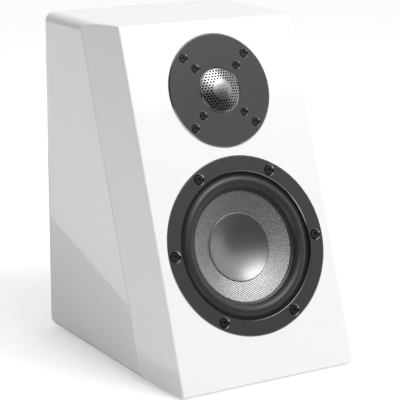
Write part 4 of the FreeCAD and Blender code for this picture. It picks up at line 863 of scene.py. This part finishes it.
def solids(node, matrix):
    """Each separate solid of a part, as its lowest and highest corner in a frame."""
    shape = bmesh.new()
    shape.from_mesh(frame["nodes"][node].data)
    bmesh.ops.remove_doubles(shape, verts=shape.verts, dist=0.001 * MM)
    inverse = matrix.inverted()
    left = set(shape.verts)
    found = []
    while left:
        group = [left.pop()]
        for vertex in group:
            near = {edge.other_vert(vertex) for edge in vertex.link_edges} & left
            left -= near
            group.extend(near)
        points = [inverse @ vertex.co for vertex in group]
        found.append((Vector([min(point[axis] for point in points) for axis in range(3)]),
                      Vector([max(point[axis] for point in points) for axis in range(3)])))
    shape.free()
    return sorted(found, key=lambda pair: (round(pair[0].x, 2), round(pair[0].y, 2)))


SCREW_TREE = screw_tree()
SCREW_GROUPS = (("woofer_screws", WOOFER, 3.0, 1.9, 2.1),
                ("tweeter_mounting_screws", TWEETER, 2.2, 1.55, 1.75),
                ("tweeter_motor_screws", TWEETER, 2.2, 1.45, 1.5),
                ("terminal_screws", BACK, 1.5, 1.25, 1.5))
for seed, (node_name, matrix, head_height, socket_flat, shank) in enumerate(SCREW_GROUPS):
    boxes = solids(node_name, matrix)
    tops = [((low.x + high.x) / 2, (low.y + high.y) / 2, high.z) for low, high in boxes]
    low, high = boxes[0]
    sizes = {"Head radius": (high.x - low.x) / 2, "Head height": head_height,
             "Rim bevel": 0.14 * (high.x - low.x) / 2, "Socket flat": socket_flat,
             "Socket depth": head_height * 0.6, "Shank radius": shank,
             "Length": high.z - low.z, "Seed": seed}
    group = grown(node_name.replace("screws", "socket_screws"), SCREW_TREE, tops, sizes, matrix,
                  FINISHES["black_screw"])
    stand_for(group, node_name, "cabinet")

# %% [markdown]
# ## The tweeter's guard
# The guard is thin steel, punched full of small round holes and pressed into a dome. The tree
# makes one six-sided tile with a round hole, sets it on a honeycomb of points and joins the
# tiles edge to edge. The flat sheet is then laid on the dome's ball by the ball's own formula,
# and given its thickness. A plain rim and a plain seat close its two edges.

# %% Guard
GUARD_PITCH = 3.1
GUARD_HOLE = 1.12
GUARD_SHEET = 0.5
GUARD_RIM_WIDTH = 1.4
GUARD_SEAT = 9.4
GUARD_SEAT_WIDTH = 1.0
HOLE_STEPS = 12
RIM_EASE = 0.15
RING_LAP = 0.06
RIM_TURN = 120
SEAT_TURN = 96
guard_low, guard_high = span("tweeter_grille", TWEETER)
GUARD_RIM = guard_high.x
GUARD_RIM_TOP = guard_low.z + 0.7
# The seat is open on the design model, so the crest is taken from the ball through the rim.
GUARD_RISE = 5.5
BALL = (GUARD_RIM ** 2 + GUARD_RISE ** 2) / (2 * GUARD_RISE)
BALL_CENTRE = GUARD_RIM_TOP + GUARD_RISE - BALL
GUARD_SIZES = {"Pitch": GUARD_PITCH, "Hole radius": GUARD_HOLE, "Outer radius": GUARD_RIM - 0.7,
               "Inner radius": GUARD_SEAT + 0.5, "Ball radius": BALL, "Ball centre": BALL_CENTRE}


def guard_tree():
    tree, size = growing_tree("punched_guard", GUARD_SIZES)
    hole = add(tree, "GeometryNodeMeshCircle", {"Vertices": HOLE_STEPS,
                                                "Radius": size["Hole radius"]}).outputs[0]
    grow = add(tree, "GeometryNodeExtrudeMesh", {"Mesh": hole, "Offset Scale": 0.0}, mode="EDGES")
    place = add(tree, "GeometryNodeInputPosition").outputs[0]
    parts = add(tree, "ShaderNodeSeparateXYZ", {0: place}).outputs
    angle = calc(tree, "ARCTAN2", parts["Y"], parts["X"])
    half_pitch = calc(tree, "DIVIDE", size["Pitch"], 2.0)
    reach = calc(tree, "DIVIDE", half_pitch,
                 calc(tree, "COSINE", calc(tree, "PINGPONG", angle, math.pi / 6)))
    corner = add(tree, "ShaderNodeCombineXYZ", {
        "X": calc(tree, "MULTIPLY", reach, calc(tree, "COSINE", angle)),
        "Y": calc(tree, "MULTIPLY", reach, calc(tree, "SINE", angle))}).outputs[0]
    tile = add(tree, "GeometryNodeSetPosition", {
        "Geometry": grow.outputs["Mesh"], "Selection": grow.outputs["Top"],
        "Position": corner}).outputs[0]
    copies = add(tree, "GeometryNodeInstanceOnPoints", {"Points": size["Geometry"],
                                                        "Instance": tile}).outputs[0]
    real = add(tree, "GeometryNodeRealizeInstances", {"Geometry": copies}).outputs[0]
    joined = add(tree, "GeometryNodeMergeByDistance", {"Geometry": real,
                                                       "Distance": 0.02}).outputs[0]
    length = add(tree, "ShaderNodeVectorMath", {0: place}, operation="LENGTH").outputs["Value"]
    kept = calc(tree, "MAXIMUM", calc(tree, "MINIMUM", length, size["Outer radius"]),
                size["Inner radius"])
    pulled = calc(tree, "DIVIDE", kept, length)
    flat = add(tree, "ShaderNodeVectorMath", {0: place, "Scale": pulled},
               operation="SCALE").outputs[0]
    across = add(tree, "ShaderNodeSeparateXYZ", {0: flat}).outputs
    squared = calc(tree, "SUBTRACT", calc(tree, "MULTIPLY", size["Ball radius"],
                                          size["Ball radius"]),
                   calc(tree, "MULTIPLY", kept, kept))
    height = calc(tree, "ADD", size["Ball centre"], calc(tree, "SQRT", squared))
    domed = add(tree, "ShaderNodeCombineXYZ", {"X": across["X"], "Y": across["Y"],
                                               "Z": height}).outputs[0]
    dome = add(tree, "GeometryNodeSetPosition", {"Geometry": joined,
                                                 "Position": domed}).outputs[0]
    finish_tree(tree, dome, FINISHES["grille_paint"])
    return tree


def honeycomb(pitch, inner, outer):
    """Points of a honeycomb between two radii."""
    row = pitch * math.sin(math.radians(60))
    reach = int(outer / row) + 2
    points = []
    for level in range(-reach, reach + 1):
        for place in range(-reach, reach + 1):
            x = (place + (level % 2) / 2) * pitch
            y = level * row
            if inner < math.hypot(x, y) < outer:
                points.append((x, y, 0.0))
    return points


def on_ball(radius, drop=0.0):
    """Height of the dome's outer face at a radius, less a drop along the ball's own radius."""
    return BALL_CENTRE + math.sqrt((BALL - drop) ** 2 - radius ** 2)


cells = honeycomb(GUARD_PITCH, GUARD_SEAT, GUARD_RIM - 0.5)
sheet = grown("guard_sheet", guard_tree(), cells, GUARD_SIZES, Matrix(),
              FINISHES["grille_paint"])
solidify = sheet.modifiers.new("thickness", "SOLIDIFY")
solidify.thickness = GUARD_SHEET
solidify.offset = -1.0
seen = sheet.evaluated_get(bpy.context.evaluated_depsgraph_get())
thick_sheet = bpy.data.meshes.new_from_object(seen)
bpy.data.objects.remove(sheet)
guard_shape = bmesh.new()
guard_shape.from_mesh(thick_sheet)
rim_inner = GUARD_RIM - GUARD_RIM_WIDTH
turn_outline(guard_shape, [
    (GUARD_RIM - RIM_EASE, guard_low.z), (GUARD_RIM, guard_low.z + RIM_EASE),
    (GUARD_RIM, GUARD_RIM_TOP - 0.1), (GUARD_RIM - 0.1, GUARD_RIM_TOP),
    (rim_inner, on_ball(rim_inner) + RING_LAP),
    (rim_inner, on_ball(rim_inner, GUARD_SHEET) - RING_LAP),
    (rim_inner + 0.4, guard_low.z)], RIM_TURN)
seat_outer = GUARD_SEAT + GUARD_SEAT_WIDTH
turn_outline(guard_shape, [
    (GUARD_SEAT, on_ball(GUARD_SEAT) - 0.02), (seat_outer, on_ball(seat_outer) - 0.02),
    (seat_outer, on_ball(seat_outer, GUARD_SHEET) - RING_LAP),
    (GUARD_SEAT, on_ball(GUARD_SEAT, GUARD_SHEET) - RING_LAP)], SEAT_TURN)
guard = mesh_piece("punched_guard", guard_shape, TWEETER, FINISHES["grille_paint"], 40.0)
stand_for(guard, "tweeter_grille", "cabinet")
print(len(cells), "holes in the guard")

# %% [markdown]
# ## The crossover's coils
# Each coil is wound from enamelled copper wire. Its outline is a ring whose four faces are rows
# of small arcs, one for each strand, so that the windings catch the light. The size of each
# coil comes from the design model's part.

# %% Wound coils
STRAND = 1.3
STRAND_RISE = 0.38
STRAND_STEPS = 4
COIL_TURN = 72


def strands(start, end):
    """A row of arcs between two corners, one for each strand."""
    begin, way = Vector(start), Vector(end) - Vector(start)
    count = max(2, round(way.length / STRAND))
    points = []
    for number in range(count):
        points += arc(begin + way * (number / count), begin + way * ((number + 1) / count),
                      -STRAND_RISE, STRAND_STEPS)
    return points


def bore_of(node, low, high):
    """The radius of the hole of one ring of a part."""
    centre = (low + high) / 2
    inverse = WORLD.inverted()
    places = [inverse @ vertex.co for vertex in frame["nodes"][node].data.vertices]
    return min(math.hypot(place.x - centre.x, place.y - centre.y) for place in places)


coils_shape = bmesh.new()
for low, high in solids("crossover_inductors", WORLD):
    centre = (low + high) / 2
    inner = bore_of("crossover_inductors", low, high) + STRAND_RISE
    outer = (high.x - low.x) / 2 - STRAND_RISE
    bottom, top = low.z + STRAND_RISE, high.z - STRAND_RISE
    outline = (strands((outer, bottom), (outer, top)) + strands((outer, top), (inner, top))
               + strands((inner, top), (inner, bottom)) + strands((inner, bottom), (outer, bottom)))
    first = len(coils_shape.verts)
    turn_outline(coils_shape, outline, COIL_TURN)
    coils_shape.verts.ensure_lookup_table()
    bmesh.ops.translate(coils_shape, vec=(centre.x, centre.y, 0.0),
                        verts=coils_shape.verts[first:])
    print("coil of", round(inner, 1), "to", round(outer, 1), "mm")
coils = mesh_piece("wound_coils", coils_shape, WORLD, FINISHES["copper_wire"], 60.0)
stand_for(coils, "crossover_inductors", "cabinet")

# %% [markdown]
# ## Damping foam
# A pad of egg-crate foam is glued to each side wall. Its back is flat against the wall, and
# its face is a field of rounded peaks and hollows that softens towards the cut edges.

# %% Egg-crate pads
PEAK_PITCH = 26.0
FACE_STEP = 3.0
BASE_SHARE = 0.45
EDGE_SOFT = 7.0
EDGE_SHARE = 0.75


def foam_pad(shape, low, high):
    """One pad; the face with the peaks looks towards the middle of the cabinet."""
    wall_x, peak_x = (high.x, low.x) if low.x > 0 else (low.x, high.x)
    across = round((high.y - low.y) / FACE_STEP)
    up = round((high.z - low.z) / FACE_STEP)
    face, back = {}, {}
    for i in range(across + 1):
        for j in range(up + 1):
            y = low.y + (high.y - low.y) * i / across
            z = low.z + (high.z - low.z) * j / up
            wave = (math.sin(math.pi * (y - low.y) / PEAK_PITCH)
                    * math.sin(math.pi * (z - low.z) / PEAK_PITCH))
            edge = min(y - low.y, high.y - y, z - low.z, high.z - z)
            soft = math.sin(min(1.0, edge / EDGE_SOFT) * math.pi / 2)
            share = BASE_SHARE + (1 - BASE_SHARE) * (0.5 + 0.5 * wave)
            share *= EDGE_SHARE + (1 - EDGE_SHARE) * soft
            face[i, j] = shape.verts.new((wall_x + (peak_x - wall_x) * share, y, z))
            back[i, j] = shape.verts.new((wall_x, y, z))
    for i in range(across):
        for j in range(up):
            corners = ((i, j), (i + 1, j), (i + 1, j + 1), (i, j + 1))
            shape.faces.new([face[key] for key in corners])
            shape.faces.new([back[key] for key in reversed(corners)])
    border = ([(i, 0) for i in range(across)] + [(across, j) for j in range(up)]
              + [(i, up) for i in range(across, 0, -1)] + [(0, j) for j in range(up, 0, -1)])
    for key, after in zip(border, border[1:] + border[:1]):
        shape.faces.new((face[after], face[key], back[key], back[after]))


pads_shape = bmesh.new()
for low, high in solids("damping_pads", WORLD):
    foam_pad(pads_shape, low, high)
pads = mesh_piece("egg_crate_pads", pads_shape, WORLD, FINISHES["grey_foam"], 60.0)
stand_for(pads, "damping_pads", "cabinet")
